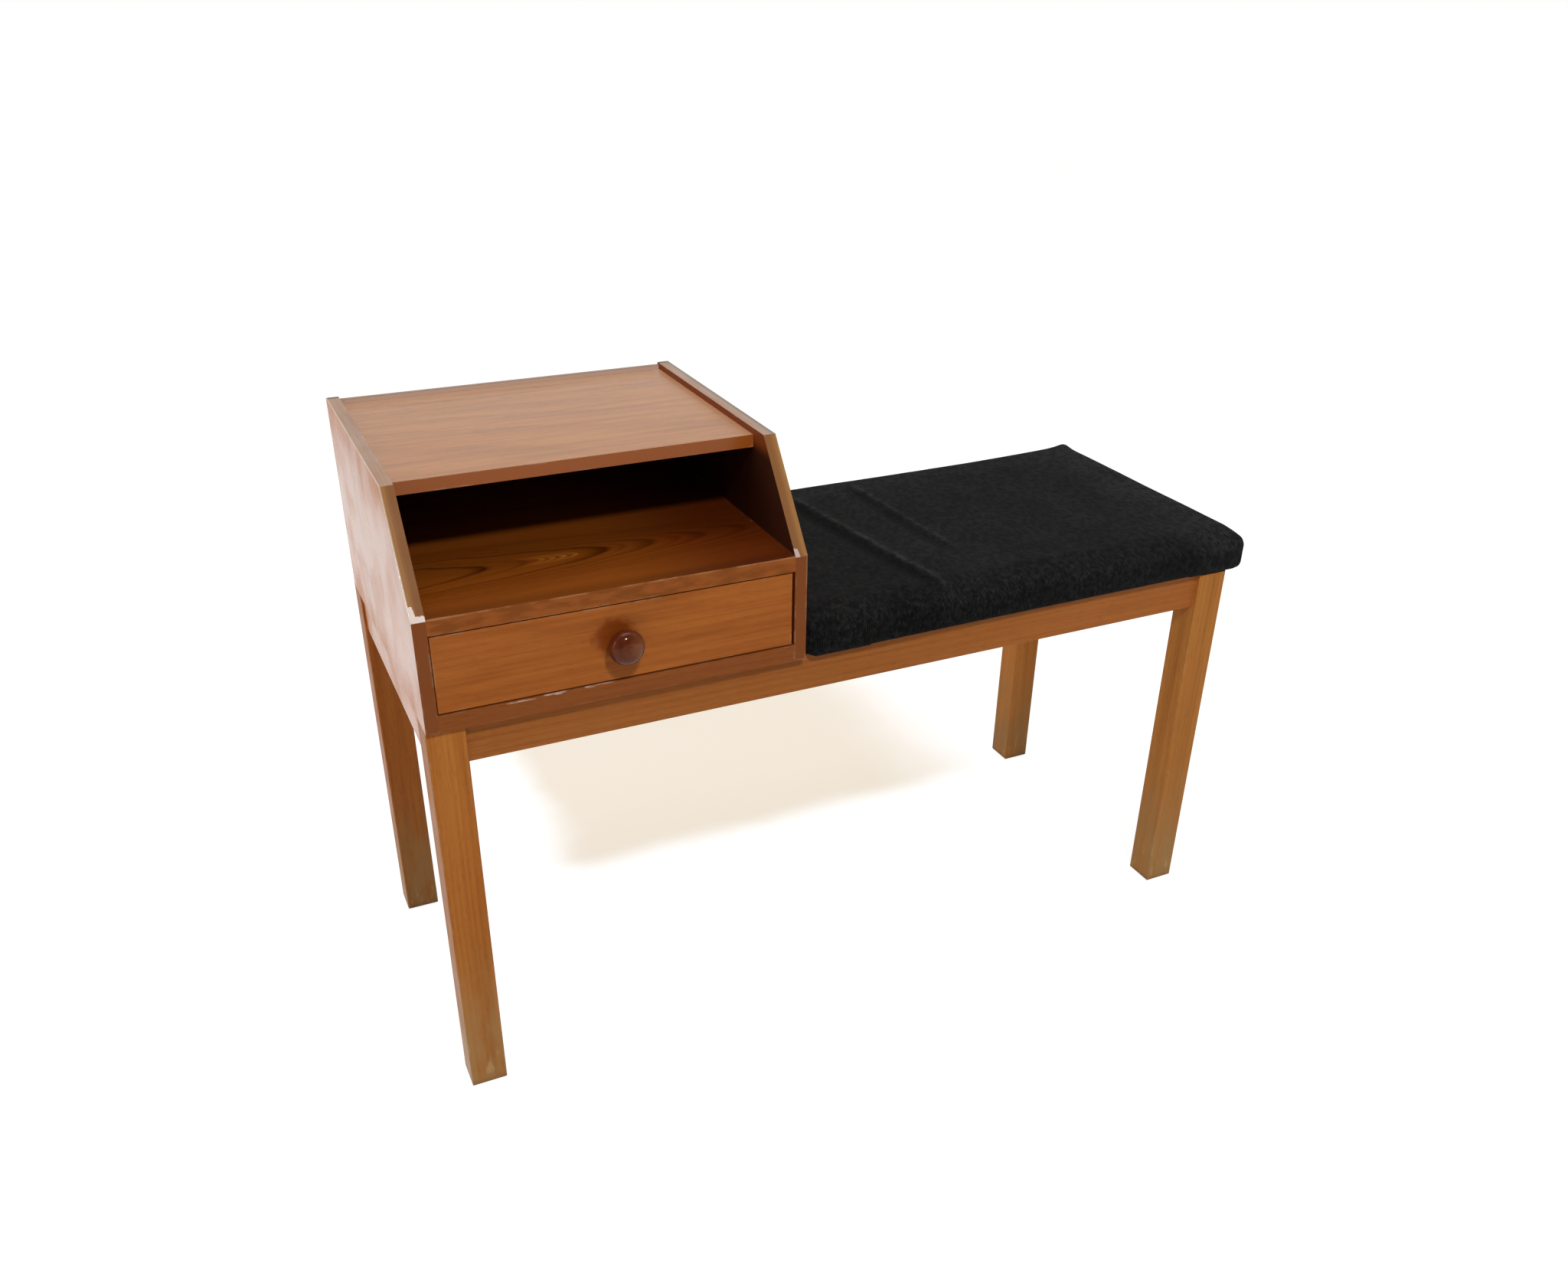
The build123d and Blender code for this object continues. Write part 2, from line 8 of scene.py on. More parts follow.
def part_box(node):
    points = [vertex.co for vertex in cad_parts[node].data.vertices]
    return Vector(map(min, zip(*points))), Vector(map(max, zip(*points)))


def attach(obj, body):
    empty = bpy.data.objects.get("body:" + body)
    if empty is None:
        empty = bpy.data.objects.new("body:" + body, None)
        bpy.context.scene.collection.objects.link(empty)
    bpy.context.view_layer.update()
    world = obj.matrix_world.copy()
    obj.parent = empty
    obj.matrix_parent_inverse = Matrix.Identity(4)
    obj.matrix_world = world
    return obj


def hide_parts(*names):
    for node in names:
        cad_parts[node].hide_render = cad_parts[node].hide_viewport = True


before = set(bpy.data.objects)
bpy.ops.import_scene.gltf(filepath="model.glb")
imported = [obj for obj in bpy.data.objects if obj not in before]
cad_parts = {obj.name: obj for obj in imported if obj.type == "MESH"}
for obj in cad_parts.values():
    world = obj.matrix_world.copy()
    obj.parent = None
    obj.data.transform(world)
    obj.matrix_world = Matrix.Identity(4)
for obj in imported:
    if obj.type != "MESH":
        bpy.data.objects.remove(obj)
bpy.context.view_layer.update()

# A teak telephone bench with a small cabinet at its left end and a black wool
# seat at its right end. Metres, in the frame of the CAD model: +X runs along
# the bench to the seat, +Y to the back and +Z up, with the floor at zero.

MM = 0.001

# ---------- camera
IMAGE_WIDTH = 2048
IMAGE_HEIGHT = 1663
SENSOR_WIDTH = 36.0
FOCAL_PIXELS = 1752.3
OPTICAL_CENTRE = (1015.5, 926.9)
CAMERA_PLACE = (-0.61441, -1.21790, 1.01964)
CAMERA_TURN_DEGREES = (60.7733, -0.5503, -24.9396)

# ---------- light
SKY_LEVEL = 0.25              # for diffuse light
DARK_SIDE = 0.15              # the room in front of the bench, as gloss shows it
DARK_TURN = 0.25              # how far to either side of sideways it brightens to the back
FLOOR_HALF = 6.0
TARGET = Vector((0.0, 0.0, 0.4))
# name, direction to the lamp, distance, size, power
LAMPS = [
    ("key_lamp", Vector((-0.10, -0.655, 0.75)), 2.6, 0.26, 30.0),
    ("top_lamp", Vector((-0.05, 0.20, 1.0)), 2.2, 1.6, 22.0),
    ("left_lamp", Vector((-1.0, 0.05, 0.30)), 2.6, 1.2, 11.0),
]
LAMP_COLOUR = (1.0, 0.985, 0.955)
SKY_COLOUR = (1.0, 0.99, 0.975, 1.0)
# the floor's painted warm shadow, along X and Y: where it starts, is full, starts to fade and ends
SHADOW_X = (-0.28, -0.21, 0.20, 0.42)
SHADOW_Y = (0.125, 0.185, 0.48, 0.80)
FLOOR_LIT = (0.92, 0.92, 0.92)
FLOOR_PAINTED_SHADOW = (0.73, 0.65, 0.54)

# ---------- the side panels
SLOPE_RUN = 74 * MM
SLOPE_RISE = 96 * MM
SLOPE_LENGTH = math.hypot(SLOPE_RUN, SLOPE_RISE)
# a pale worn chip with a painted highlight on it: its reach up the slope over its full width and
# along its left arris, and its strength
CHIP_HIGHLIGHTS = {"side_panel_left": (7 * MM, 16 * MM, 0.9), "side_panel_right": (0.0, 10 * MM, 0.5)}
SLOPE_TONES = {"side_panel_left": (0.215, 0.080, 0.019), "side_panel_right": (0.225, 0.088, 0.022)}

# ---------- wood tones
TEAK = (0.370, 0.115, 0.020)
TEAK_PALE = (1.22, 1.34, 1.55)        # factors on the middle tone
TEAK_DEEP = (0.62, 0.52, 0.45)
BEECH = (0.58, 0.39, 0.23)
PINE_PLY = (0.58, 0.42, 0.25)
# pale bare wood on rubbed arrises, also used as painted highlights on them
BARE_WOOD_AND_GLINT = (0.50, 0.32, 0.18)
WORN_GREY = (0.43, 0.250, 0.098)
SHELF_TONE = (0.166, 0.040, 0.0036)
# painted sheen: the lip is as pale as the glossy top board in front of it
LIP_SHEEN_TONE = (0.60, 0.42, 0.33)
TOP_TONE = (0.350, 0.128, 0.020)
TOP_REFLECTION_RIGHT = (0.50, 0.31, 0.215)  # painted reflection along the top board's right and back margins
TOP_REFLECTION_BACK = (0.47, 0.315, 0.235)
SLOPE_RIM = (0.36, 0.170, 0.045)
# the pale chip at a slope's foot: worn wood with a painted highlight
CHIP_HIGHLIGHT_TONE = (0.82, 0.70, 0.66)
# small pale chips on the bottom board's arris, painted as highlights
SMALL_CHIP_HIGHLIGHT = (0.76, 0.62, 0.52)
# a pale line along the left panel's outer arris
PALE_ARRIS_LINE = (0.66, 0.56, 0.48)
# a dark line along the right panel's top at its outer edge
DARK_TOP_RIM = (0.130, 0.105, 0.080)
COAT_ROUGHNESS = 0.22
RUBBED_AND_GLINT = 0.3                          # how strongly most arrises are rubbed pale, with painted highlights
SKIN = (0.4 * MM, 0.1 * MM)           # a face's own tone starts and is full this deep in its board


def shade(colour, factor):
    """A colour times one factor, or times one factor for each channel."""
    factors = factor if isinstance(factor, tuple) else (factor,) * 3
    return tuple(min(channel * part, 1.0) for channel, part in zip(colour, factors))


# ---------- the seat's cloth
FULL_FOLD = 2.4 * MM
CREASES = [  # x at y = 0, its drift with y, first and last y, depth, half width
    (0.0600, -0.128, -0.175, 0.165, FULL_FOLD, 9 * MM),
    (0.1355, -0.055, -0.095, 0.165, 1.7 * MM, 8 * MM),
]
RIB_PITCH = 2.5 * MM
ROW_PITCH = 1.7 * MM
LINT = (0.16, 0.16, 0.165)


# ---------- node helpers
class Graph:
    """The node graph of one material, with short calls for the nodes used here."""

    def __init__(self, name):
        self.material = bpy.data.materials.new(name)
        self.material.use_nodes = True
        self.tree = self.material.node_tree
        self.tree.nodes.clear()
        self.place = self.add("ShaderNodeTexCoord").outputs["Object"]

    def add(self, kind, **settings):
        node = self.tree.nodes.new(kind)
        for key, value in settings.items():
            setattr(node, key, value)
        return node

    def feed(self, socket, value):
        """Links a node's output to a socket, or writes a plain value on it."""
        if isinstance(value, bpy.types.NodeSocket):
            self.tree.links.new(value, socket)
        elif isinstance(value, tuple) and socket.type == "RGBA" and len(value) == 3:
            socket.default_value = (*value, 1.0)
        else:
            socket.default_value = value

    def math(self, operation, a, b=0.0):
        node = self.add("ShaderNodeMath", operation=operation)
        self.feed(node.inputs[0], a)
        self.feed(node.inputs[1], b)
        return node.outputs[0]

    def plus(self, a, b):
        return self.math("ADD", a, b)

    def minus(self, a, b):
        return self.math("SUBTRACT", a, b)

    def times(self, a, b):
        return self.math("MULTIPLY", a, b)

    def larger(self, a, b):
        return self.math("MAXIMUM", a, b)

    def vector_math(self, operation, a, b=(0.0, 0.0, 0.0)):
        node = self.add("ShaderNodeVectorMath", operation=operation)
        self.feed(node.inputs[0], a)
        self.feed(node.inputs[1], b)
        return node.outputs["Value" if operation == "LENGTH" else "Vector"]

    def split(self, vector):
        node = self.add("ShaderNodeSeparateXYZ")
        self.feed(node.inputs[0], vector)
        return node.outputs

    def join(self, x, y, z):
        node = self.add("ShaderNodeCombineXYZ")
        for socket, value in zip(node.inputs, (x, y, z)):
            self.feed(socket, value)
        return node.outputs[0]

    def noise(self, vector, scale, detail=2.0, roughness=0.5):
        node = self.add("ShaderNodeTexNoise")
        self.feed(node.inputs["Vector"], vector)
        self.feed(node.inputs["Scale"], scale)
        self.feed(node.inputs["Detail"], detail)
        self.feed(node.inputs["Roughness"], roughness)
        return node.outputs[0]

    def stretched_noise(self, vector, factors, detail, roughness=0.5):
        """Noise on a vector that is first scaled by a factor along each axis."""
        scaled = self.vector_math("MULTIPLY", vector, factors)
        return self.noise(scaled, 1.0, detail, roughness)

    def cells(self, vector, scale):
        node = self.add("ShaderNodeTexVoronoi")
        self.feed(node.inputs["Vector"], vector)
        self.feed(node.inputs["Scale"], scale)
        return node.outputs["Distance"]

    def mix(self, factor, a, b, blend="MIX"):
        node = self.add("ShaderNodeMix", data_type="RGBA", blend_type=blend)
        colours = [s for s in node.inputs if s.type == "RGBA"]
        self.feed(node.inputs["Factor"], factor)
        self.feed(colours[0], a)
        self.feed(colours[1], b)
        return next(s for s in node.outputs if s.type == "RGBA")

    def tinted(self, colour, factors, amount=1.0):
        """A colour times factors, or partly so where amount is under 1."""
        return self.mix(amount, colour, factors, "MULTIPLY")

    def fade(self, value, low, high, start=0.0, end=1.0):
        """Maps low..high to start..end, smoothly and held at both ends."""
        node = self.add("ShaderNodeMapRange", interpolation_type="SMOOTHSTEP")
        for socket, number in zip(node.inputs, (value, low, high, start, end)):
            self.feed(socket, number)
        return node.outputs[0]

    def ramp(self, value, stops):
        """Colours along a value; stops are (position, colour), from low to high."""
        node = self.add("ShaderNodeValToRGB")
        elements = node.color_ramp.elements
        elements[0].position, elements[1].position = stops[0][0], stops[-1][0]
        elements[0].color, elements[1].color = (*stops[0][1], 1.0), (*stops[-1][1], 1.0)
        for position, colour in stops[1:-1]:
            elements.new(position).color = (*colour, 1.0)
        self.feed(node.inputs[0], value)
        return node.outputs[0]

    def bump(self, height, distance, strength):
        node = self.add("ShaderNodeBump")
        self.feed(node.inputs["Height"], height)
        self.feed(node.inputs["Distance"], distance)
        self.feed(node.inputs["Strength"], strength)
        return node.outputs[0]

    def finish(self, **inputs):
        """Closes the graph with a Principled shader; names use _ for a space."""
        shader = self.add("ShaderNodeBsdfPrincipled")
        for key, value in inputs.items():
            self.feed(shader.inputs[key.replace("_", " ")], value)
        output = self.add("ShaderNodeOutputMaterial")
        self.tree.links.new(shader.outputs[0], output.inputs["Surface"])
        return self.material


# ---------- wood
FIGURE_LENGTH = 0.5           # how much of a board a figure of tongues spans
RING_SWAY = 0.012
AXES = {"x": (0, 1, 2), "y": (1, 0, 2), "z": (2, 0, 1), "x_up": (0, 2, 1), "z_wide": (2, 1, 0)}


def grain_place(graph, grain, seed):
    """Coordinates in metres with X along the grain and Z through the board."""
    parts = graph.split(graph.place)
    along, across, through = (parts[i] for i in AXES[grain])
    shift = Vector((math.sin(seed * 12.9), math.sin(seed * 78.2), math.sin(seed * 37.7)))
    return graph.vector_math("ADD", graph.join(along, across, through), tuple(shift * 0.35))


def growth_rings(graph, place, pith, slope, spacing):
    """A saw-tooth that counts the growth rings cut by the board, from 0 to 1."""
    slow = graph.stretched_noise(place, (2.2, 16.0, 16.0), 2.0)
    wander = graph.times(graph.minus(slow, 0.5), RING_SWAY)
    along, across, through = graph.split(place)
    side = graph.plus(graph.plus(across, pith[0]), wander)
    depth = graph.plus(graph.times(along, slope), pith[1])
    depth = graph.plus(depth, through)
    radius = graph.vector_math("LENGTH", graph.join(0.0, side, depth))
    return graph.math("FRACT", graph.math("DIVIDE", radius, spacing))


def tongues(graph, node, axis, width, lines, wander):
    """The nested tongues of a flat-sawn veneer, from 0 to 1, and places along and beside them.

    Lines are (tip, half width, strength), and a larger width makes the tongues blunter.
    """
    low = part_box(node)[0]
    x, y, _ = graph.split(graph.vector_math("SUBTRACT", graph.place, (low.x, low.y, low.z)))
    slow = graph.stretched_noise(graph.place, (16.0, 44.0, 44.0), 3.0)
    drift = graph.times(graph.minus(slow, 0.5), wander)
    side = graph.plus(graph.minus(y, axis), drift)
    bow = graph.math("DIVIDE", graph.times(side, side), width)
    reach = graph.math("DIVIDE", graph.plus(graph.plus(x, bow), drift), FIGURE_LENGTH)
    plain = (0.0, 0.0, 0.0)
    stops = [(0.0, plain)]
    for tip, half, strength in lines:
        stops += [((tip - half) / FIGURE_LENGTH, plain), (tip / FIGURE_LENGTH, (strength,) * 3),
                  ((tip + 0.4 * half) / FIGURE_LENGTH, plain)]
    near = graph.fade(graph.math("ABSOLUTE", side), 2 * MM, 20 * MM, 1.0, 0.7)
    return graph.times(graph.ramp(reach, stops), near), x, side


def box_edges(graph, node, reach):
    """1 within reach of the edges of a node's box and 0 on its flat faces."""
    low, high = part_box(node)
    centre, half = (low + high) / 2, (high - low) / 2
    offset = graph.vector_math("SUBTRACT", graph.place, tuple(centre))
    offset = graph.vector_math("ABSOLUTE", offset)
    a, b, c = graph.split(graph.vector_math("SUBTRACT", offset, tuple(half)))
    longer, shorter = graph.larger(a, b), graph.math("MINIMUM", a, b)
    second = graph.larger(shorter, graph.math("MINIMUM", longer, c))
    return graph.fade(second, -reach, -reach * 0.2)


def worn_and_glinting_edges(graph, colour, node, amount, reach=2.0 * MM):
    """Rubbed arrises with painted highlights: paler wood that shows in patches along a board's
    edges.
    """
    patchy = graph.fade(graph.noise(graph.place, 48.0, 4.0, 0.6), 0.50, 0.64)
    mask = graph.times(box_edges(graph, node, reach), patchy)
    return graph.mix(graph.times(mask, amount), colour, BARE_WOOD_AND_GLINT)


def wood(name, grain, colour=TEAK, seed=1.0, tone=1.0, pale=TEAK_PALE, deep=TEAK_DEEP,
         pith=(0.05, 0.05), slope=0.03, spacing=0.0045, rings=0.30, bands=0.45, fibres=0.34,
         pores=0.35, roughness=0.42, gloss=1.22, coat=0.0, zones=None, bump=0.5, patchy=0.06,
         streaks=(1.6, 42.0), matt=None):
    """Wood with broad bands, growth rings, long fibres, short pores and a satin finish.

    zones changes the tint in places, and matt is 1 where the surface isn't polished.
    """
    graph = Graph(name)
    place = grain_place(graph, grain, seed)
    middle = shade(colour, tone)
    light, dark = shade(middle, pale), shade(middle, deep)

    stretch = (streaks[0], streaks[1], streaks[1])
    broad = graph.stretched_noise(place, stretch, 3.0, 0.55)
    tint = graph.mix(graph.fade(broad, 0.34, 0.68, 0.0, bands), middle, light)
    tint = graph.mix(graph.fade(broad, 0.46, 0.26, 0.0, bands), tint, shade(middle, 0.80))

    turns = growth_rings(graph, place, pith, slope, spacing)
    line = graph.times(graph.fade(turns, 0.30, 0.88), graph.fade(turns, 0.99, 0.90))
    uneven = graph.stretched_noise(place, (5.0, 60.0, 60.0), 2.0)
    line = graph.times(line, graph.fade(uneven, 0.30, 0.65, 0.25, 1.0))
    tint = graph.mix(graph.times(line, rings), tint, dark)

    fibre = graph.stretched_noise(place, (6.0, 460.0, 460.0), 3.0, 0.62)
    tint = graph.mix(graph.fade(fibre, 0.52, 0.74, 0.0, fibres), tint, dark)
    tint = graph.mix(graph.fade(fibre, 0.48, 0.28, 0.0, fibres * 0.7), tint, light)
    pore = graph.fade(graph.stretched_noise(place, (70.0, 1700.0, 1700.0), 1.0), 0.60, 0.70)
    tint = graph.mix(graph.times(pore, pores), tint, shade(dark, 0.6))
    if zones:
        tint = zones(graph, tint)

    smears = graph.noise(graph.place, 19.0, 4.0)
    satin = graph.fade(smears, 0.3, 0.7, roughness - patchy, roughness + patchy)
    if matt:
        satin = graph.plus(satin, graph.times(matt(graph), 0.40))
    height = graph.minus(graph.times(fibre, 0.5), graph.times(pore, 0.5))
    normal = graph.bump(height, 0.10 * MM, bump)
    return graph.finish(Base_Color=tint, Roughness=satin, Normal=normal, IOR=gloss,
                        Coat_Weight=coat, Coat_Roughness=COAT_ROUGHNESS)


def plain_wood(name, grain, colour, seed, roughness=0.6):
    """Unfinished inner wood, such as beech or plywood, with a fine straight grain."""
    return wood(name, grain, colour, seed, pale=(1.12, 1.16, 1.22), deep=(0.76, 0.70, 0.64),
                pith=(0.09, 0.06), slope=0.012, spacing=0.003, rings=0.4, pores=0.2,
                roughness=roughness, gloss=1.40)


# ---------- the other materials
def hardboard():
    """Brown pressed board with dark and pale flecks."""
    graph = Graph("hardboard")
    flecks = graph.noise(graph.place, 900.0, 3.0, 0.7)
    clouds = graph.noise(graph.place, 18.0, 3.0)
    colour = graph.ramp(flecks, [(0.25, (0.105, 0.050, 0.024)), (0.75, (0.235, 0.128, 0.070))])
    colour = graph.mix(graph.fade(clouds, 0.3, 0.7, 0.0, 0.3), colour, (0.28, 0.16, 0.09))
    return graph.finish(Base_Color=colour, Roughness=graph.fade(flecks, 0.2, 0.8, 0.38, 0.6),
                        Normal=graph.bump(flecks, 0.05 * MM, 0.4), IOR=1.45)


def screw_steel():
    """Dull plated steel with stains."""
    graph = Graph("screw_steel")
    spots = graph.noise(graph.place, 420.0, 4.0, 0.6)
    colour = graph.ramp(spots, [(0.35, (0.30, 0.28, 0.25)), (0.7, (0.62, 0.60, 0.57))])
    gloss = graph.fade(spots, 0.3, 0.7, 0.28, 0.5)
    return graph.finish(Base_Color=colour, Metallic=1.0, Roughness=gloss,
                        Normal=graph.bump(spots, 0.03 * MM, 0.5))


def knob_wood():
    """Dark turned wood with a polish: redder above, browner at the right."""
    graph = Graph("knob_wood")
    low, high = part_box("drawer_knob")
    centre = (low + high) / 2
    place = graph.vector_math("SUBTRACT", graph.place, tuple(centre))
    streaks = graph.stretched_noise(place, (150.0, 60.0, 50.0), 2.0)
    turned = graph.stretched_noise(place, (30.0, 2400.0, 30.0), 1.0)
    x, _, z = graph.split(place)
    colour = graph.ramp(streaks, [(0.3, (0.080, 0.015, 0.005)), (0.55, (0.125, 0.025, 0.008)),
                                  (0.8, (0.165, 0.036, 0.012))])
    brown = graph.times(graph.fade(x, -2 * MM, 8 * MM), graph.fade(z, -14 * MM, -2 * MM))
    colour = graph.mix(graph.times(brown, 0.6), colour, (0.215, 0.075, 0.030))
    crown = graph.fade(z, 4 * MM, 13 * MM, 0.0, 0.55)
    colour = graph.mix(crown, colour, (0.075, 0.010, 0.004))
    gloss = graph.fade(graph.noise(graph.place, 210.0, 3.0), 0.3, 0.7, 0.11, 0.16)
    return graph.finish(Base_Color=colour, Roughness=gloss, IOR=1.27,
                        Specular_Tint=(1.0, 0.72, 0.50), Coat_Weight=0.10, Coat_Roughness=0.16,
                        Normal=graph.bump(turned, 0.012 * MM, 0.4))


def black_wool():
    """Black wool cloth: fine ribs from front to back, nubs, mottling, folds with painted shade and
    highlights, and lint.
    """
    graph = Graph("black_wool")
    along, across, up = graph.split(graph.place)
    wobble = graph.noise(graph.place, 60.0, 2.0)
    phase = graph.plus(graph.times(along, 2 * math.pi / RIB_PITCH), graph.times(wobble, 3.0))
    rib = graph.fade(graph.math("SINE", phase), -1.0, 1.0)
    rows = graph.times(graph.plus(across, up), 2 * math.pi / ROW_PITCH)
    stitch = graph.fade(graph.math("SINE", rows), -1.0, 1.0, 0.5, 1.0)
    fuzz = graph.noise(graph.place, 1300.0, 3.0, 0.7)
    weave = graph.times(rib, stitch)
    tone = graph.plus(graph.times(weave, 0.5), graph.times(fuzz, 0.6))
    colour = graph.ramp(tone, [(0.20, (0.0048, 0.0048, 0.0049)), (0.95, (0.0185, 0.0185, 0.0188))])

    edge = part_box("seat_cover")[0].y
    rolled = graph.fade(across, edge + 6 * MM, edge + 50 * MM, 1.0, 0.0)
    nubs = graph.stretched_noise(graph.place, (380.0, 230.0, 230.0), 2.0, 0.5)
    clouds = graph.noise(graph.place, 13.0, 4.0)
    mottle = graph.stretched_noise(graph.place, (190.0, 130.0, 130.0), 4.0, 0.6)
    for field, low, high, least, most in ((mottle, 0.36, 0.64, 0.66, 1.42),
                                          (clouds, 0.3, 0.7, 0.85, 1.18)):
        colour = graph.tinted(colour, graph.fade(field, low, high, least, most))
    speckle = graph.tinted(colour, graph.fade(nubs, 0.40, 0.66, 0.62, 1.9))
    rolled = graph.times(rolled, graph.fade(along, 0.05, 0.40, 0.55, 0.22))
    colour = graph.mix(graph.plus(rolled, 0.10), colour, speckle)
    # painted shade in each fold's hollow and a painted highlight on its crest
    for centre, drift, first, last, depth, half in CREASES:
        line = graph.minus(graph.minus(along, centre), graph.times(across, drift))
        ends = graph.times(graph.fade(across, first, first + 0.06),
                           graph.fade(across, last, last - 0.03))
        ends = graph.times(ends, depth / FULL_FOLD)
        hollow = graph.fade(graph.math("ABSOLUTE", graph.plus(line, 1.7 * half)),
                            1.7 * half, 0.4 * half)
        crest = graph.fade(graph.math("ABSOLUTE", line), 0.55 * half, 0.0)
        colour = graph.tinted(colour, (0.48, 0.48, 0.48), graph.times(hollow, ends))
        colour = graph.tinted(colour, (2.3, 2.3, 2.3), graph.times(crest, ends))
    # painted shadow left of the first fold; and paler at the right end and along the back
    centre, drift = CREASES[0][:2]
    fold = graph.minus(graph.minus(along, centre), graph.times(across, drift))
    for field, first, last, least, most in ((fold, -16 * MM, 2 * MM, 0.76, 0.95),
                                            (along, 0.36, 0.45, 1.0, 1.6),
                                            (across, 0.11, 0.165, 1.0, 1.3)):
        colour = graph.tinted(colour, graph.fade(field, first, last, least, most))
    lint = graph.fade(graph.cells(graph.place, 150.0), 0.0, 0.075, 1.0, 0.0)
    chosen = graph.fade(graph.noise(graph.place, 95.0, 0.0), 0.60, 0.66)
    colour = graph.mix(graph.times(graph.times(lint, chosen), 0.45), colour, LINT)
    height = graph.plus(graph.times(weave, 0.6), graph.times(fuzz, 0.6))
    height = graph.plus(height, graph.times(nubs, 0.9))
    return graph.finish(Base_Color=colour, Roughness=0.95, IOR=1.12, Sheen_Weight=0.03,
                        Sheen_Roughness=0.5, Sheen_Tint=(0.85, 0.86, 0.88),
                        Normal=graph.bump(height, 0.45 * MM, 0.8))


def floor_material():
    """Pale floor that reads as white paper, keeps the bench's faint real shade, and has a soft
    warm shadow painted behind it.
    """
    graph = Graph("pale_floor")
    path = graph.add("ShaderNodeLightPath").outputs
    seen = graph.larger(path["Is Camera Ray"], path["Is Glossy Ray"])
    seen = graph.larger(seen, path["Is Transmission Ray"])
    plain = graph.add("ShaderNodeBsdfDiffuse")
    graph.feed(plain.inputs["Color"], (0.80, 0.79, 0.77))
    thin = graph.add("ShaderNodeBsdfDiffuse")
    graph.feed(thin.inputs["Color"], (0.30, 0.30, 0.30))
    x, y, _ = graph.split(graph.place)
    wander = graph.times(graph.minus(graph.noise(graph.place, 9.0, 2.0), 0.5), 0.06)
    x, y = graph.plus(x, wander), graph.plus(y, graph.times(wander, 0.4))
    # painted shadow: a warm patch fixed on the floor behind the bench
    painted_shadow = graph.times(graph.fade(x, *SHADOW_X[:2]), graph.fade(x, *SHADOW_X[2:], 1.0, 0.0))
    painted_shadow = graph.times(painted_shadow, graph.fade(y, *SHADOW_Y[:2]))
    painted_shadow = graph.times(painted_shadow, graph.fade(y, *SHADOW_Y[2:], 1.0, 0.0))
    lifted = graph.add("ShaderNodeEmission")
    graph.feed(lifted.inputs["Color"], graph.mix(painted_shadow, FLOOR_LIT, FLOOR_PAINTED_SHADOW))
    both = graph.add("ShaderNodeAddShader")
    graph.tree.links.new(thin.outputs[0], both.inputs[0])
    graph.tree.links.new(lifted.outputs[0], both.inputs[1])
    choice = graph.add("ShaderNodeMixShader")
    graph.feed(choice.inputs[0], seen)
    graph.tree.links.new(plain.outputs[0], choice.inputs[1])
    graph.tree.links.new(both.outputs[0], choice.inputs[2])
    output = graph.add("ShaderNodeOutputMaterial")
    graph.tree.links.new(choice.outputs[0], output.inputs["Surface"])
    return graph.material


# ---------- CAD nodes' looks
def give(node, material):
    """Puts one material on a CAD node in place of its packed one."""
    mesh_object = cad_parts[node]
    for slot in mesh_object.material_slots:
        slot.material = material
    if not mesh_object.material_slots:
        mesh_object.data.materials.append(material)


def ease_edges(node, width):
    """Rounds a node's sharp arrises a little, without touching its mesh."""
    mesh_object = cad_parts[node]
    weld = mesh_object.modifiers.new("weld", "WELD")
    weld.merge_threshold = 0.01 * MM
    bevel = mesh_object.modifiers.new("bevel", "BEVEL")
    bevel.width = width
    bevel.segments = 2
    bevel.limit_method = "ANGLE"
    bevel.angle_limit = math.radians(40)
    bevel.harden_normals = True


def foot_zone(node):
    """A leg's lower end: paler and greyer, scuffed, with a grimy rim at the floor."""
    def zones(graph, tint):
        height = graph.split(graph.place)[2]
        mottle = graph.stretched_noise(graph.place, (60.0, 60.0, 16.0), 4.0)
        bleached = graph.times(graph.fade(height, 0.0, 0.21, 0.85, 0.0),
                               graph.fade(mottle, 0.30, 0.62, 0.35, 1.0))
        tint = graph.mix(bleached, tint, WORN_GREY)
        scuffs = graph.stretched_noise(graph.place, (160.0, 160.0, 45.0), 4.0)
        scuffed = graph.times(graph.fade(scuffs, 0.54, 0.70),
                              graph.fade(height, 0.0, 0.07, 0.7, 0.0))
        tint = graph.mix(scuffed, tint, shade(WORN_GREY, 1.5))
        tint = graph.mix(graph.fade(height, 0.0, 0.010, 0.5, 0.0), tint, shade(WORN_GREY, 0.4))
        return worn_and_glinting_edges(graph, tint, node, 0.25, 2.5 * MM)
    return zones


def edge_zone(node):
    """Rubbed arrises alone, with their painted highlights."""
    def zones(graph, tint):
        return worn_and_glinting_edges(graph, tint, node, RUBBED_AND_GLINT)
    return zones


def on_face(graph, value, edge, inward):
    """1 on a board's face at edge and 0 inside it; inward is 1 or -1, the way into the board."""
    return graph.fade(value, edge + inward * SKIN[0], edge + inward * SKIN[1])


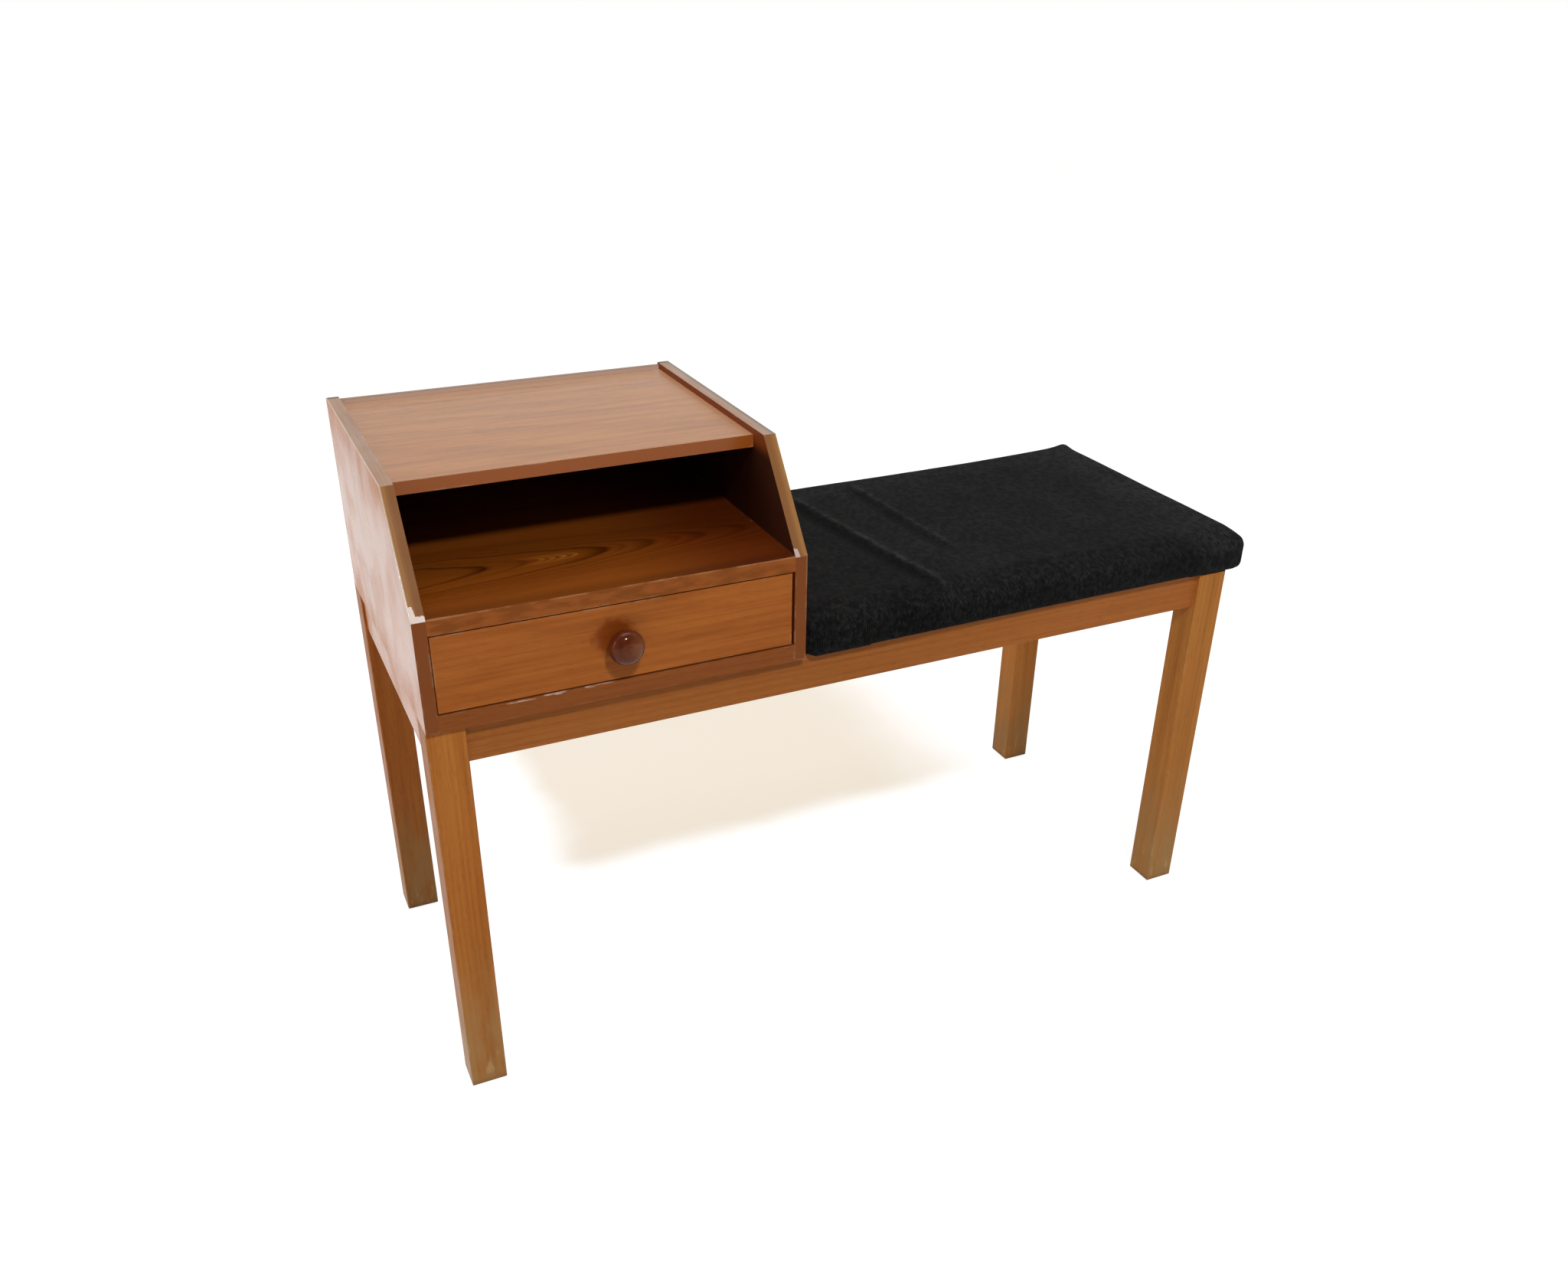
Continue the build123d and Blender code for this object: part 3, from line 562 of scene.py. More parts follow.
def panel_zone(node, inner_is_high):
    """A side panel's edges: grey top, dark front, golden slope with a worn chip under a painted
    highlight, and painted shade on the inside.
    """
    low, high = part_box(node)

    def zones(graph, tint):
        x, y, z = graph.split(graph.place)
        inner = on_face(graph, x, high.x, -1) if inner_is_high else on_face(graph, x, low.x, 1)
        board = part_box("top_board")[1].z
        foot = high.z - SLOPE_RISE
        # painted shade: the inner face is near black between the shelf and the top board, paler
        # above and below
        lit = graph.larger(graph.fade(z, board - 16 * MM, board - 2 * MM),
                           graph.fade(z, foot - 2 * MM, foot + 3 * MM, 1.0, 0.0))
        shaded_inside = graph.mix(lit, shade(TEAK, (0.075, 0.030, 0.025)),
                           shade(TEAK, (0.60, 0.36, 0.18)))
        tint = graph.mix(graph.times(inner, 0.97), tint, shaded_inside)
        ply = graph.stretched_noise(graph.place, (900.0, 14.0, 14.0), 3.0)
        top = on_face(graph, z, high.z, -1)
        grey = graph.ramp(ply, [(0.3, (0.200, 0.120, 0.075)), (0.7, (0.320, 0.220, 0.155))])
        tint = graph.mix(graph.times(top, 0.85), tint, grey)
        front = on_face(graph, y, low.y, 1)
        tint = graph.mix(graph.times(front, 0.95), tint, shade(TEAK, (0.55, 0.44, 0.30)))
        rear = graph.times(graph.fade(y, high.y - 7 * MM, high.y - 5 * MM), top)
        tint = graph.mix(graph.times(rear, 0.85), tint, shade(TEAK, 0.18))
        rise = graph.minus(z, foot)
        back = graph.minus(y, low.y)
        away = graph.minus(graph.times(back, SLOPE_RISE / SLOPE_LENGTH),
                           graph.times(rise, SLOPE_RUN / SLOPE_LENGTH))
        slope = graph.fade(away, 0.1 * MM, 0.5 * MM, 1.0, 0.0)
        off = graph.minus(x, low.x) if inner_is_high else graph.minus(high.x, x)
        outer = graph.times(graph.fade(off, 1.5 * MM, 8 * MM, 1.0, 0.0),
                            graph.fade(ply, 0.35, 0.65, 0.35, 1.0))
        golden = graph.mix(outer, SLOPE_TONES[node], SLOPE_RIM)
        tint = graph.mix(slope, tint, golden)
        # painted highlight: a pale worn chip at the foot of the slope
        corner = graph.vector_math("LENGTH", graph.join(0.0, back, rise))
        ragged = graph.times(graph.noise(graph.place, 420.0, 3.0, 0.6), 4 * MM)
        wide_reach, arris_reach, strength = CHIP_HIGHLIGHTS[node]
        reach = graph.fade(x, low.x + 3.5 * MM, low.x + 5.5 * MM, arris_reach, wide_reach)
        short = graph.minus(graph.plus(corner, ragged), reach)
        chip_highlight = graph.times(graph.fade(short, -0.5 * MM, 0.5 * MM, 1.0, 0.0), slope)
        tint = graph.mix(graph.times(chip_highlight, strength), tint, CHIP_HIGHLIGHT_TONE)
        tint = worn_and_glinting_edges(graph, tint, node, RUBBED_AND_GLINT)
        if inner_is_high:
            # a pale line along the outer arris of the top and the slope
            arris = graph.times(graph.fade(off, 0.6 * MM, 1.3 * MM, 1.0, 0.0),
                                graph.larger(top, slope))
            return graph.mix(graph.times(arris, 0.65), tint, PALE_ARRIS_LINE)
        # a dark line along the top at the outer edge
        rim = graph.times(graph.fade(off, 2.5 * MM, 4.5 * MM, 1.0, 0.0), top)
        return graph.mix(graph.times(rim, 0.75), tint, DARK_TOP_RIM)
    return zones


def panel_matt(node, inner_is_high):
    """1 where a side panel isn't polished, all but its outer face, and partly so at its ends."""
    low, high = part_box(node)

    def mask(graph):
        x, _, z = graph.split(graph.place)
        outer = on_face(graph, x, low.x, 1) if inner_is_high else on_face(graph, x, high.x, -1)
        plain = graph.math("MINIMUM", graph.minus(1.0, outer),
                           graph.minus(1.0, on_face(graph, z, high.z, -1)))
        duller = graph.larger(graph.fade(z, high.z - 60 * MM, high.z - 1 * MM, 0.0, 0.35),
                              graph.fade(z, low.z + 60 * MM, low.z, 0.0, 0.30))
        return graph.larger(plain, duller)
    return mask


def bottom_zone(graph, tint):
    """Painted highlights as small pale chips along the top arris under the drawer's left half."""
    low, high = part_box("bottom_board")
    x, y, z = graph.split(graph.place)
    # painted highlights: small pale chips on the top arris
    edge = graph.times(graph.fade(z, high.z - 2.4 * MM, high.z - 1.2 * MM),
                       graph.fade(y, low.y + 1.5 * MM, low.y + 0.8 * MM))
    stretch = graph.times(graph.fade(x, low.x + 25 * MM, low.x + 40 * MM),
                          graph.fade(x, low.x + 165 * MM, low.x + 150 * MM))
    broken = graph.fade(graph.stretched_noise(graph.place, (46.0, 160.0, 160.0), 3.0), 0.52, 0.58)
    mask = graph.times(graph.times(edge, stretch), broken)
    tint = graph.mix(graph.times(mask, 0.6), tint, SMALL_CHIP_HIGHLIGHT)
    return worn_and_glinting_edges(graph, tint, "bottom_board", 0.12)


def lip_zone(graph, tint):
    """The lip above the top board, painted as pale as the board in front of it: a painted sheen.
    """
    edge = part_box("top_board")[1].z
    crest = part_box("back_panel")[1].z
    height = graph.split(graph.place)[2]
    # painted sheen on the lip's face above the board
    tint = graph.mix(graph.fade(height, edge - 1.0 * MM, edge), tint, LIP_SHEEN_TONE)
    rim = graph.fade(height, crest - 0.9 * MM, crest - 0.3 * MM)
    return graph.mix(rim, tint, shade(LIP_SHEEN_TONE, 0.55))


def top_zone(graph, tint):
    """The top board: darker front edge, rubbed arrises with painted highlights, and a painted
    reflection along its right and back edges.
    """
    x, y, _ = graph.split(graph.place)
    low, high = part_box("top_board")
    front = on_face(graph, y, low.y, 1)
    tint = graph.mix(front, tint, shade(TEAK, (0.95, 0.80, 0.55)))
    tint = worn_and_glinting_edges(graph, tint, "top_board", RUBBED_AND_GLINT)
    # painted reflection: a paler strip along the right edge
    reflection_right = graph.fade(x, high.x - 12 * MM, high.x - 4.5 * MM, 0.0, 0.5)
    reflection_right = graph.times(reflection_right, graph.minus(1.0, front))
    tint = graph.mix(reflection_right, tint, TOP_REFLECTION_RIGHT)
    # painted reflection: a paler strip along the back edge
    behind = graph.fade(y, high.y - 19 * MM, high.y - 8 * MM, 0.0, 0.65)
    return graph.mix(behind, tint, TOP_REFLECTION_BACK)


def drawer_zone(graph, tint):
    """Rubbed edges with painted highlights, and a painted shadow of the knob, darker and reddish,
    above it and to its left.
    """
    low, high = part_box("drawer_knob")
    # painted shadow of the knob on the drawer's front
    centre = (low + high) / 2 + Vector((-8 * MM, 0.0, 7 * MM))
    x, _, z = graph.split(graph.vector_math("SUBTRACT", graph.place, tuple(centre)))
    ragged = graph.times(graph.noise(graph.place, 120.0, 4.0), 16 * MM)
    away = graph.plus(graph.vector_math("LENGTH", graph.join(x, 0.0, z)), ragged)
    knob_shadow = graph.fade(away, 21 * MM, 31 * MM, 0.72, 0.0)
    tint = graph.mix(knob_shadow, tint, shade(TEAK, (0.50, 0.26, 0.10)))
    return worn_and_glinting_edges(graph, tint, "drawer_front", RUBBED_AND_GLINT)


# the shelf's figure: its axis across the board, where its red heart lies, and its tongues,
# each with where its tip lies along the board, its half width and its strength
SHELF_AXIS = 88 * MM
SHELF_HEART = 0.262
SHELF_LINES = [(0.072, 0.016, 1.0), (0.110, 0.010, 0.45), (0.187, 0.022, 1.0), (0.206, 0.008, 0.4),
               (0.234, 0.020, 0.7), (0.262, 0.010, 0.4), (0.287, 0.018, 0.6), (0.332, 0.016, 0.55),
               (0.374, 0.018, 0.55), (0.417, 0.018, 0.55)]
SHELF_PALE = [(0.128, 0.005, 0.8), (0.138, 0.005, 0.9), (0.149, 0.005, 1.0), (0.160, 0.005, 0.8)]


def shelf_zone(graph, tint):
    """The shelf: a flame figure with a pale eye, painted shade towards its right end, and a paler
    lipping along its front edge with painted highlights on its arris.
    """
    dark, x, side = tongues(graph, "shelf_board", SHELF_AXIS, 8.0 * MM, SHELF_LINES, 10 * MM)
    tint = graph.tinted(tint, (0.27, 0.20, 0.20), dark)
    pale = tongues(graph, "shelf_board", SHELF_AXIS, 3.5 * MM, SHELF_PALE, 4 * MM)[0]
    eye = graph.fade(graph.math("ABSOLUTE", side), 5 * MM, 12 * MM, 1.0, 0.0)
    tint = graph.tinted(tint, (2.3, 3.1, 4.2), graph.times(pale, eye))
    place = graph.join(graph.minus(x, SHELF_HEART), side, 0.0)
    blush = graph.fade(graph.vector_math("LENGTH", place), 8 * MM, 34 * MM, 0.55, 0.0)
    tint = graph.tinted(tint, (1.18, 0.86, 0.9), blush)
    # painted shade towards the right end, darker and redder; and darker behind the lipping
    low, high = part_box("shelf_board")
    _, y, z = graph.split(graph.place)
    tint = graph.tinted(tint, (0.50, 0.36, 0.42), graph.fade(x, 0.165, 0.320))
    tint = graph.tinted(tint, graph.fade(y, low.y + 6 * MM, low.y + 24 * MM, 0.74, 1.0))
    patches = graph.stretched_noise(graph.place, (50.0, 160.0, 160.0), 3.0)
    lipping = graph.tinted(shade(TEAK, (0.80, 0.76, 1.0)),
                           graph.fade(patches, 0.35, 0.65, 0.84, 1.16))
    # painted highlights: pale worn specks along the lipping's top arris
    arris = graph.times(graph.fade(z, high.z - 1.6 * MM, high.z - 0.9 * MM),
                        graph.fade(patches, 0.40, 0.60, 0.0, 0.30))
    lipping = graph.mix(arris, lipping, BARE_WOOD_AND_GLINT)
    tint = graph.mix(graph.fade(y, low.y + 0.5 * MM, low.y + 0.2 * MM), tint, lipping)
    return worn_and_glinting_edges(graph, tint, "shelf_board", 0.22)


# the finish of the surfaces that mirror the pale room at a low angle
POLISH = dict(roughness=0.18, gloss=1.33, patchy=0.07, bump=0.10)


def rail_zone(graph, tint):
    """The front rail, a little paler towards its right end."""
    x = graph.split(graph.place)[0]
    tint = graph.tinted(tint, (1.17, 1.17, 1.20), graph.fade(x, 0.0, 0.40))
    return worn_and_glinting_edges(graph, tint, "rail_front", RUBBED_AND_GLINT)


def dress_frame():
    """Legs, rails, the drawer's box and the hidden wood and screws."""
    # painted light: each leg has its own paler tone, raised most on the back right leg, to
    # brighten legs that get less light
    legs = [("leg_front_left", 1.0, (1.22, 1.32, 1.40)),
            ("leg_front_right", 2.0, (1.37, 1.68, 2.0)),
            ("leg_back_left", 3.0, (1.22, 1.22, 1.35)),
            ("leg_back_right", 4.0, (1.80, 2.05, 2.4))]
    for node, seed, tone in legs:
        give(node, wood("teak_" + node, "z", seed=seed, tone=tone, pith=(0.055, 0.085),
                        slope=0.018, spacing=0.0060, rings=0.32, bands=0.7, gloss=1.15,
                        zones=foot_zone(node)))
    plain = dict(pith=(0.09, 0.05), slope=0.012, spacing=0.0065, rings=0.26)
    give("rail_front", wood("teak_rail_front", "x", seed=5.0, tone=0.97, zones=rail_zone, **plain))
    for node, grain, seed in [("rail_back", "x", 6.0), ("rail_right", "y", 8.0)]:
        give(node, wood("teak_" + node, grain, seed=seed, tone=0.97, zones=edge_zone(node),
                        **plain))
    give("rail_left", wood("teak_rail_left", "y", seed=7.0, tone=1.6, zones=edge_zone("rail_left"),
                           **plain, **dict(POLISH, roughness=0.27)))
    give("cross_rail", plain_wood("beech_cross_rail", "y", BEECH, 9.0))
    give("corner_blocks", plain_wood("beech_blocks", "x", BEECH, 10.0))
    give("cabinet_dowels", plain_wood("beech_dowels", "x", BEECH, 11.0))
    give("drawer_stops", plain_wood("beech_stops", "y", BEECH, 12.0))
    for node, grain, seed in [("drawer_side_left", "y", 13.0), ("drawer_side_right", "y", 14.0),
                              ("drawer_back", "x", 15.0)]:
        give(node, plain_wood("beech_" + node, grain, BEECH, seed, roughness=0.5))
    steel = screw_steel()
    for node in ("cabinet_screws", "seat_screws", "knob_screw"):
        give(node, steel)


def dress_cabinet():
    """Panels and boards, the drawer's front, bottom and knob, and the seat's board."""
    for node, seed in (("side_panel_left", 16.0), ("side_panel_right", 17.0)):
        give(node, wood("veneer_" + node, "z_wide", seed=seed, tone=1.6, pith=(0.02, 0.04),
                        slope=0.06, spacing=0.0085, rings=0.2, fibres=0.2, pores=0.2,
                        zones=panel_zone(node, node.endswith("left")),
                        matt=panel_matt(node, node.endswith("left")), **POLISH))
    give("top_board", wood("veneer_top", "x", seed=18.0, colour=TOP_TONE, pith=(0.03, 0.03),
                           slope=0.05, spacing=0.010, rings=0.30, bands=0.7, streaks=(7.0, 120.0),
                           patchy=0.02, zones=top_zone, coat=0.3, roughness=0.24, gloss=1.25))
    give("shelf_board", wood("veneer_shelf", "x", seed=19.0, colour=SHELF_TONE, rings=0.15,
                             bands=0.6, slope=0.012, gloss=1.12, fibres=0.25,
                             zones=shelf_zone))
    give("bottom_board", wood("veneer_bottom", "x", seed=20.0, tone=(0.69, 0.60, 0.62),
                              spacing=0.007, zones=bottom_zone))
    give("back_panel", wood("veneer_back", "x", seed=21.0, spacing=0.007, roughness=0.55, tone=0.5,
                            zones=lip_zone))
    give("drawer_front", wood("veneer_drawer", "x_up", seed=22.0, tone=(1.05, 0.95, 0.82),
                              pith=(0.02, 0.07), slope=0.03, spacing=0.0075, bands=0.7,
                              streaks=(9.0, 60.0), zones=drawer_zone))
    give("drawer_bottom", hardboard())
    give("drawer_knob", knob_wood())
    give("seat_board", plain_wood("seat_ply", "x", PINE_PLY, 23.0, 0.7))


# nodes by how wide their arrises are rounded
EASED = {
    0.5 * MM: ["side_panel_left", "side_panel_right", "top_board", "shelf_board", "bottom_board",
               "drawer_front", "back_panel"],
    0.4 * MM: ["drawer_side_left", "drawer_side_right", "drawer_back", "cross_rail",
               "corner_blocks", "seat_board"],
}


# ---------- seat pad
PAD_CORNER = 11 * MM
PAD_DRAW_IN = {"front": 1.5 * MM, "back": 4.5 * MM, "end": 0.3 * MM}
PAD_CROWN = 1.0 * MM
PAD_ROLL_TOP = 10 * MM
PAD_ROLL_BOTTOM = 6 * MM
FRONT_ROLL = (56 * MM, 23 * MM)   # how far back the long front curve starts, and its fall
HEM = 34 * MM
# how far the cloth fills out again: the top's edges, its middle beyond them, the sides
PAD_SWELL = (0.3 * MM, 3.4 * MM, 0.3 * MM)
CLOTH_CAP = 6 * MM
VOXEL = 5 * MM
CORNER_LIFT = 2.0 * MM
BACK_RIGHT_LIFT = 5.0 * MM
CORNER_REACH = 16 * MM
# at the cabinet, and how much less at the right end
BACK_SAG = (4.2 * MM, 1.8 * MM)
FRONT_DROOP = (2.2 * MM, 3.6 * MM)


def pad_outline(inset):
    """The pad's plan as a ring of points: four drawn-in sides and round corners."""
    low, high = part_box("seat_cover")
    x0, x1 = low.x + inset, high.x - inset
    y0, y1 = low.y + inset, high.y - inset
    corner = max(PAD_CORNER - inset, 2 * MM)
    middle = Vector(((x0 + x1) / 2, (y0 + y1) / 2))
    half = Vector(((x1 - x0) / 2, (y1 - y0) / 2))
    ring = []

    def side(start, end, pull, count):
        for i in range(count):
            share = i / count
            bow = 4 * share * (1 - share)
            ring.append(start.lerp(end, share) + pull * bow)

    def turn(centre, first):
        for i in range(6):
            angle = first + math.radians(90) * i / 6
            ring.append(centre + Vector((math.cos(angle), math.sin(angle))) * corner)

    inner = half - Vector((corner, corner))
    side(Vector((middle.x - inner.x, y0)), Vector((middle.x + inner.x, y0)),
         Vector((0, PAD_DRAW_IN["front"])), 40)
    turn(middle + Vector((inner.x, -inner.y)), math.radians(-90))
    side(Vector((x1, middle.y - inner.y)), Vector((x1, middle.y + inner.y)),
         Vector((-PAD_DRAW_IN["end"], 0)), 26)
    turn(middle + inner, 0.0)
    side(Vector((middle.x + inner.x, y1)), Vector((middle.x - inner.x, y1)),
         Vector((0, -PAD_DRAW_IN["back"])), 40)
    turn(middle + Vector((-inner.x, inner.y)), math.radians(90))
    side(Vector((x0, middle.y + inner.y)), Vector((x0, middle.y - inner.y)), Vector((0, 0)), 26)
    turn(middle - inner, math.radians(180))
    return ring


def pad_rings(sink, hollow, shrink):
    """Rings from under the pad, round its side and over its top, as (inset, height)."""
    low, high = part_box("seat_cover")
    top = high.z - PAD_CROWN - sink
    rings = [(90 * MM, low.z), (45 * MM, low.z)]
    for i in range(5):
        angle = math.radians(90) * i / 4
        rings.append((PAD_ROLL_BOTTOM * (1 - math.sin(angle)) + shrink,
                      low.z + PAD_ROLL_BOTTOM * (1 - math.cos(angle))))
    for i in range(6):
        angle = math.radians(90) * i / 5
        rings.append((PAD_ROLL_TOP * (1 - math.cos(angle)) + shrink,
                      top - PAD_ROLL_TOP * (1 - math.sin(angle))))
    half_width = (high.y - low.y) / 2
    for inset in (30 * MM, 50 * MM, 80 * MM, 110 * MM, 140 * MM, 165 * MM):
        share = inset / half_width
        rings.append((inset, top + (PAD_CROWN - hollow) * (1 - (1 - share) ** 2)))
    return rings


def pad_blank(sink, hollow, shrink):
    """The pad as one closed mesh, before the cloth is blown up over it."""
    mesh = bmesh.new()
    loops = [[mesh.verts.new((p.x, p.y, height)) for p in pad_outline(inset)]
             for inset, height in pad_rings(sink, hollow, shrink)]
    for lower, upper in zip(loops, loops[1:]):
        for i in range(len(lower)):
            j = (i + 1) % len(lower)
            mesh.faces.new((lower[i], lower[j], upper[j], upper[i]))
    mesh.faces.new(list(reversed(loops[0])))
    mesh.faces.new(loops[-1])
    bmesh.ops.recalc_face_normals(mesh, faces=mesh.faces)
    return mesh


def as_object(name, mesh):
    """Turns a bmesh into an object of the scene."""
    data = bpy.data.meshes.new(name)
    mesh.to_mesh(data)
    mesh.free()
    made = bpy.data.objects.new(name, data)
    bpy.context.scene.collection.objects.link(made)
    return made


def apply_modifiers(made):
    """Swaps an object's mesh for what its modifiers make of it."""
    graph = bpy.context.evaluated_depsgraph_get()
    data = bpy.data.meshes.new_from_object(made.evaluated_get(graph))
    made.modifiers.clear()
    made.data = data


def blow_up(made):
    """Cloth under a light pressure for twenty frames, capped, with the foam behind it."""
    start = [v.co.copy() for v in made.data.vertices]
    outward = [v.normal.copy() for v in made.data.vertices]
    low = min(p.z for p in start)
    pinned = made.vertex_groups.new(name="pinned")
    pinned.add([i for i, p in enumerate(start) if p.z < low + 1.5 * MM], 1.0, "REPLACE")
    cloth = made.modifiers.new("cloth", "CLOTH")
    cloth.settings.quality = 5
    cloth.settings.use_pressure = True
    cloth.settings.uniform_pressure_force = 0.5
    cloth.settings.effector_weights.gravity = 0.0
    cloth.settings.vertex_group_mass = "pinned"
    cloth.point_cache.frame_start = 1
    cloth.point_cache.frame_end = 20
    for number in range(1, 21):
        bpy.context.scene.frame_set(number)
    apply_modifiers(made)
    bpy.context.scene.frame_set(1)
    for vertex, before, normal in zip(made.data.vertices, start, outward):
        move = vertex.co - before
        move -= normal * min(move.dot(normal), 0.0)
        if move.length > CLOTH_CAP:
            move = move.normalized() * CLOTH_CAP
        vertex.co = before + move


def crease_height(x, y):
    """Long shallow folds of loose cloth that run from front to back."""
    total = 0.0
    for number, (centre, drift, first, last, depth, half) in enumerate(CREASES):
        line = centre + drift * y + 2 * MM * noise.noise(Vector((number * 3.0, y * 11.0, 0.0)))
        fade = max(0.0, min(1.0, (y - first) / 0.045, (last - y) / 0.045))
        away = (x - line) / half
        ridge = 0.7 * math.exp(-(away / 0.7) ** 2)
        valley = math.exp(-((away + 1.6) / 1.2) ** 2)
        total += depth * fade * (ridge - valley)
    return total


def roll_front(made, sink, shrink):
    """Lets the pad's top fall to its front in one long soft curve."""
    low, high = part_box("seat_cover")
    length, fall = FRONT_ROLL
    top = high.z - 0.5 * PAD_CROWN - sink
    for vertex in made.data.vertices:
        share = (length - (vertex.co.y - low.y - shrink)) / length
        if share > 0.0 and vertex.co.z > low.z + 15 * MM:
            drop = fall * (1.0 - math.sqrt(max(0.0, 1.0 - min(share, 1.0) ** 2)))
            vertex.co.z = min(vertex.co.z, top - drop)


def shape_cloth(made):
    """Creases, unevenness, raised corners, the back's sag and the front lower edge's droop."""
    low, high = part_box("seat_cover")
    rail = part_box("rail_front")[0].y
    corners = [(Vector((x, y)), BACK_RIGHT_LIFT if x == high.x and y == high.y else CORNER_LIFT)
               for x in (low.x, high.x) for y in (low.y, high.y)]

    def towards_end(start_and_less, x):
        """A size that shrinks along the pad, from the cabinet to the right end."""
        start, less = start_and_less
        return start - less * (x - low.x) / (high.x - low.x)

    for vertex in made.data.vertices:
        p = vertex.co
        upper = max(0.0, min(1.0, (p.z - low.z - 20 * MM) / (12 * MM)))
        p.z += upper * crease_height(p.x, p.y)
        p.z += upper * 0.5 * MM * noise.noise(p * 16.0)
        p.y += 0.35 * MM * noise.noise(Vector((p.x * 40.0, p.z * 60.0, 4.0)))
        sag = max(0.0, 1.0 - (high.y - p.y) / (55 * MM)) * min(1.0, (high.x - p.x) / (110 * MM))
        p.z -= upper * sag * towards_end(BACK_SAG, p.x)
        for corner, lift in corners:
            near = (Vector((p.x, p.y)) - corner).length
            p.z += upper * lift * math.exp(-(near / CORNER_REACH) ** 2)
        p.x = max(p.x, low.x - 0.4 * MM)
        if p.z < low.z + (2.2 * MM if p.y > high.y - 30 * MM else 1.2 * MM):
            p.z = low.z
        if p.y < rail - 1 * MM:
            under = max(0.0, 1.0 - (p.z - low.z) / (16 * MM))
            free = min(1.0, (rail - 1 * MM - p.y) / (4 * MM))
            p.z -= free * under * towards_end(FRONT_DROOP, p.x)


def cut_mouth(made):
    """Opens the pad's underside inside its hem, with room for the board above."""
    low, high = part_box("seat_cover")
    board_low, board_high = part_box("seat_board")
    room = 0.3 * MM
    cutters = [
        (Vector((low.x + HEM, low.y + HEM, low.z - 5 * MM)),
         Vector((high.x - HEM, high.y - HEM, board_low.z + 1 * MM))),
        (board_low - Vector((room, room, room)), board_high + Vector((room, room, room))),
    ]
    for first, last in cutters:
        mesh = bmesh.new()
        bmesh.ops.create_cube(mesh, size=1.0)
        for vertex in mesh.verts:
            vertex.co = Vector([(first[i] + last[i]) / 2 + vertex.co[i] * (last[i] - first[i])
                                for i in range(3)])
        cutter = as_object("cutter", mesh)
        boolean = made.modifiers.new("mouth", "BOOLEAN")
        boolean.operation = "DIFFERENCE"
        boolean.object = cutter
        boolean.solver = "EXACT"
        apply_modifiers(made)
        bpy.data.objects.remove(cutter)


def seat_pad():
    """The seat's cover and foam as one crowned, cloth-simulated piece."""
    sink, hollow, shrink = PAD_SWELL
    pad = as_object("seat_pad", pad_blank(sink, hollow, shrink))
    remesh = pad.modifiers.new("remesh", "REMESH")
    remesh.mode = "VOXEL"
    remesh.voxel_size = VOXEL
    apply_modifiers(pad)
    roll_front(pad, sink, shrink)
    blow_up(pad)
    smooth = pad.modifiers.new("smooth", "SMOOTH")
    smooth.factor = 0.5
    smooth.iterations = 2
    subdivide = pad.modifiers.new("subdivide", "SUBSURF")
    subdivide.levels = 1
    subdivide.render_levels = 1
    apply_modifiers(pad)
    shape_cloth(pad)
    cut_mouth(pad)
    for polygon in pad.data.polygons:
        polygon.use_smooth = True
    pad.data.materials.clear()
    pad.data.materials.append(black_wool())
    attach(pad, "bench")
    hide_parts("seat_cover", "seat_foam")


# ---------- floor and lights
def floor():
    """A flat floor at height zero, which isn't part of the bench."""
    mesh = bmesh.new()
    bmesh.ops.create_grid(mesh, x_segments=4, y_segments=4, size=FLOOR_HALF)
    made = as_object("floor", mesh)
    made.data.materials.append(floor_material())


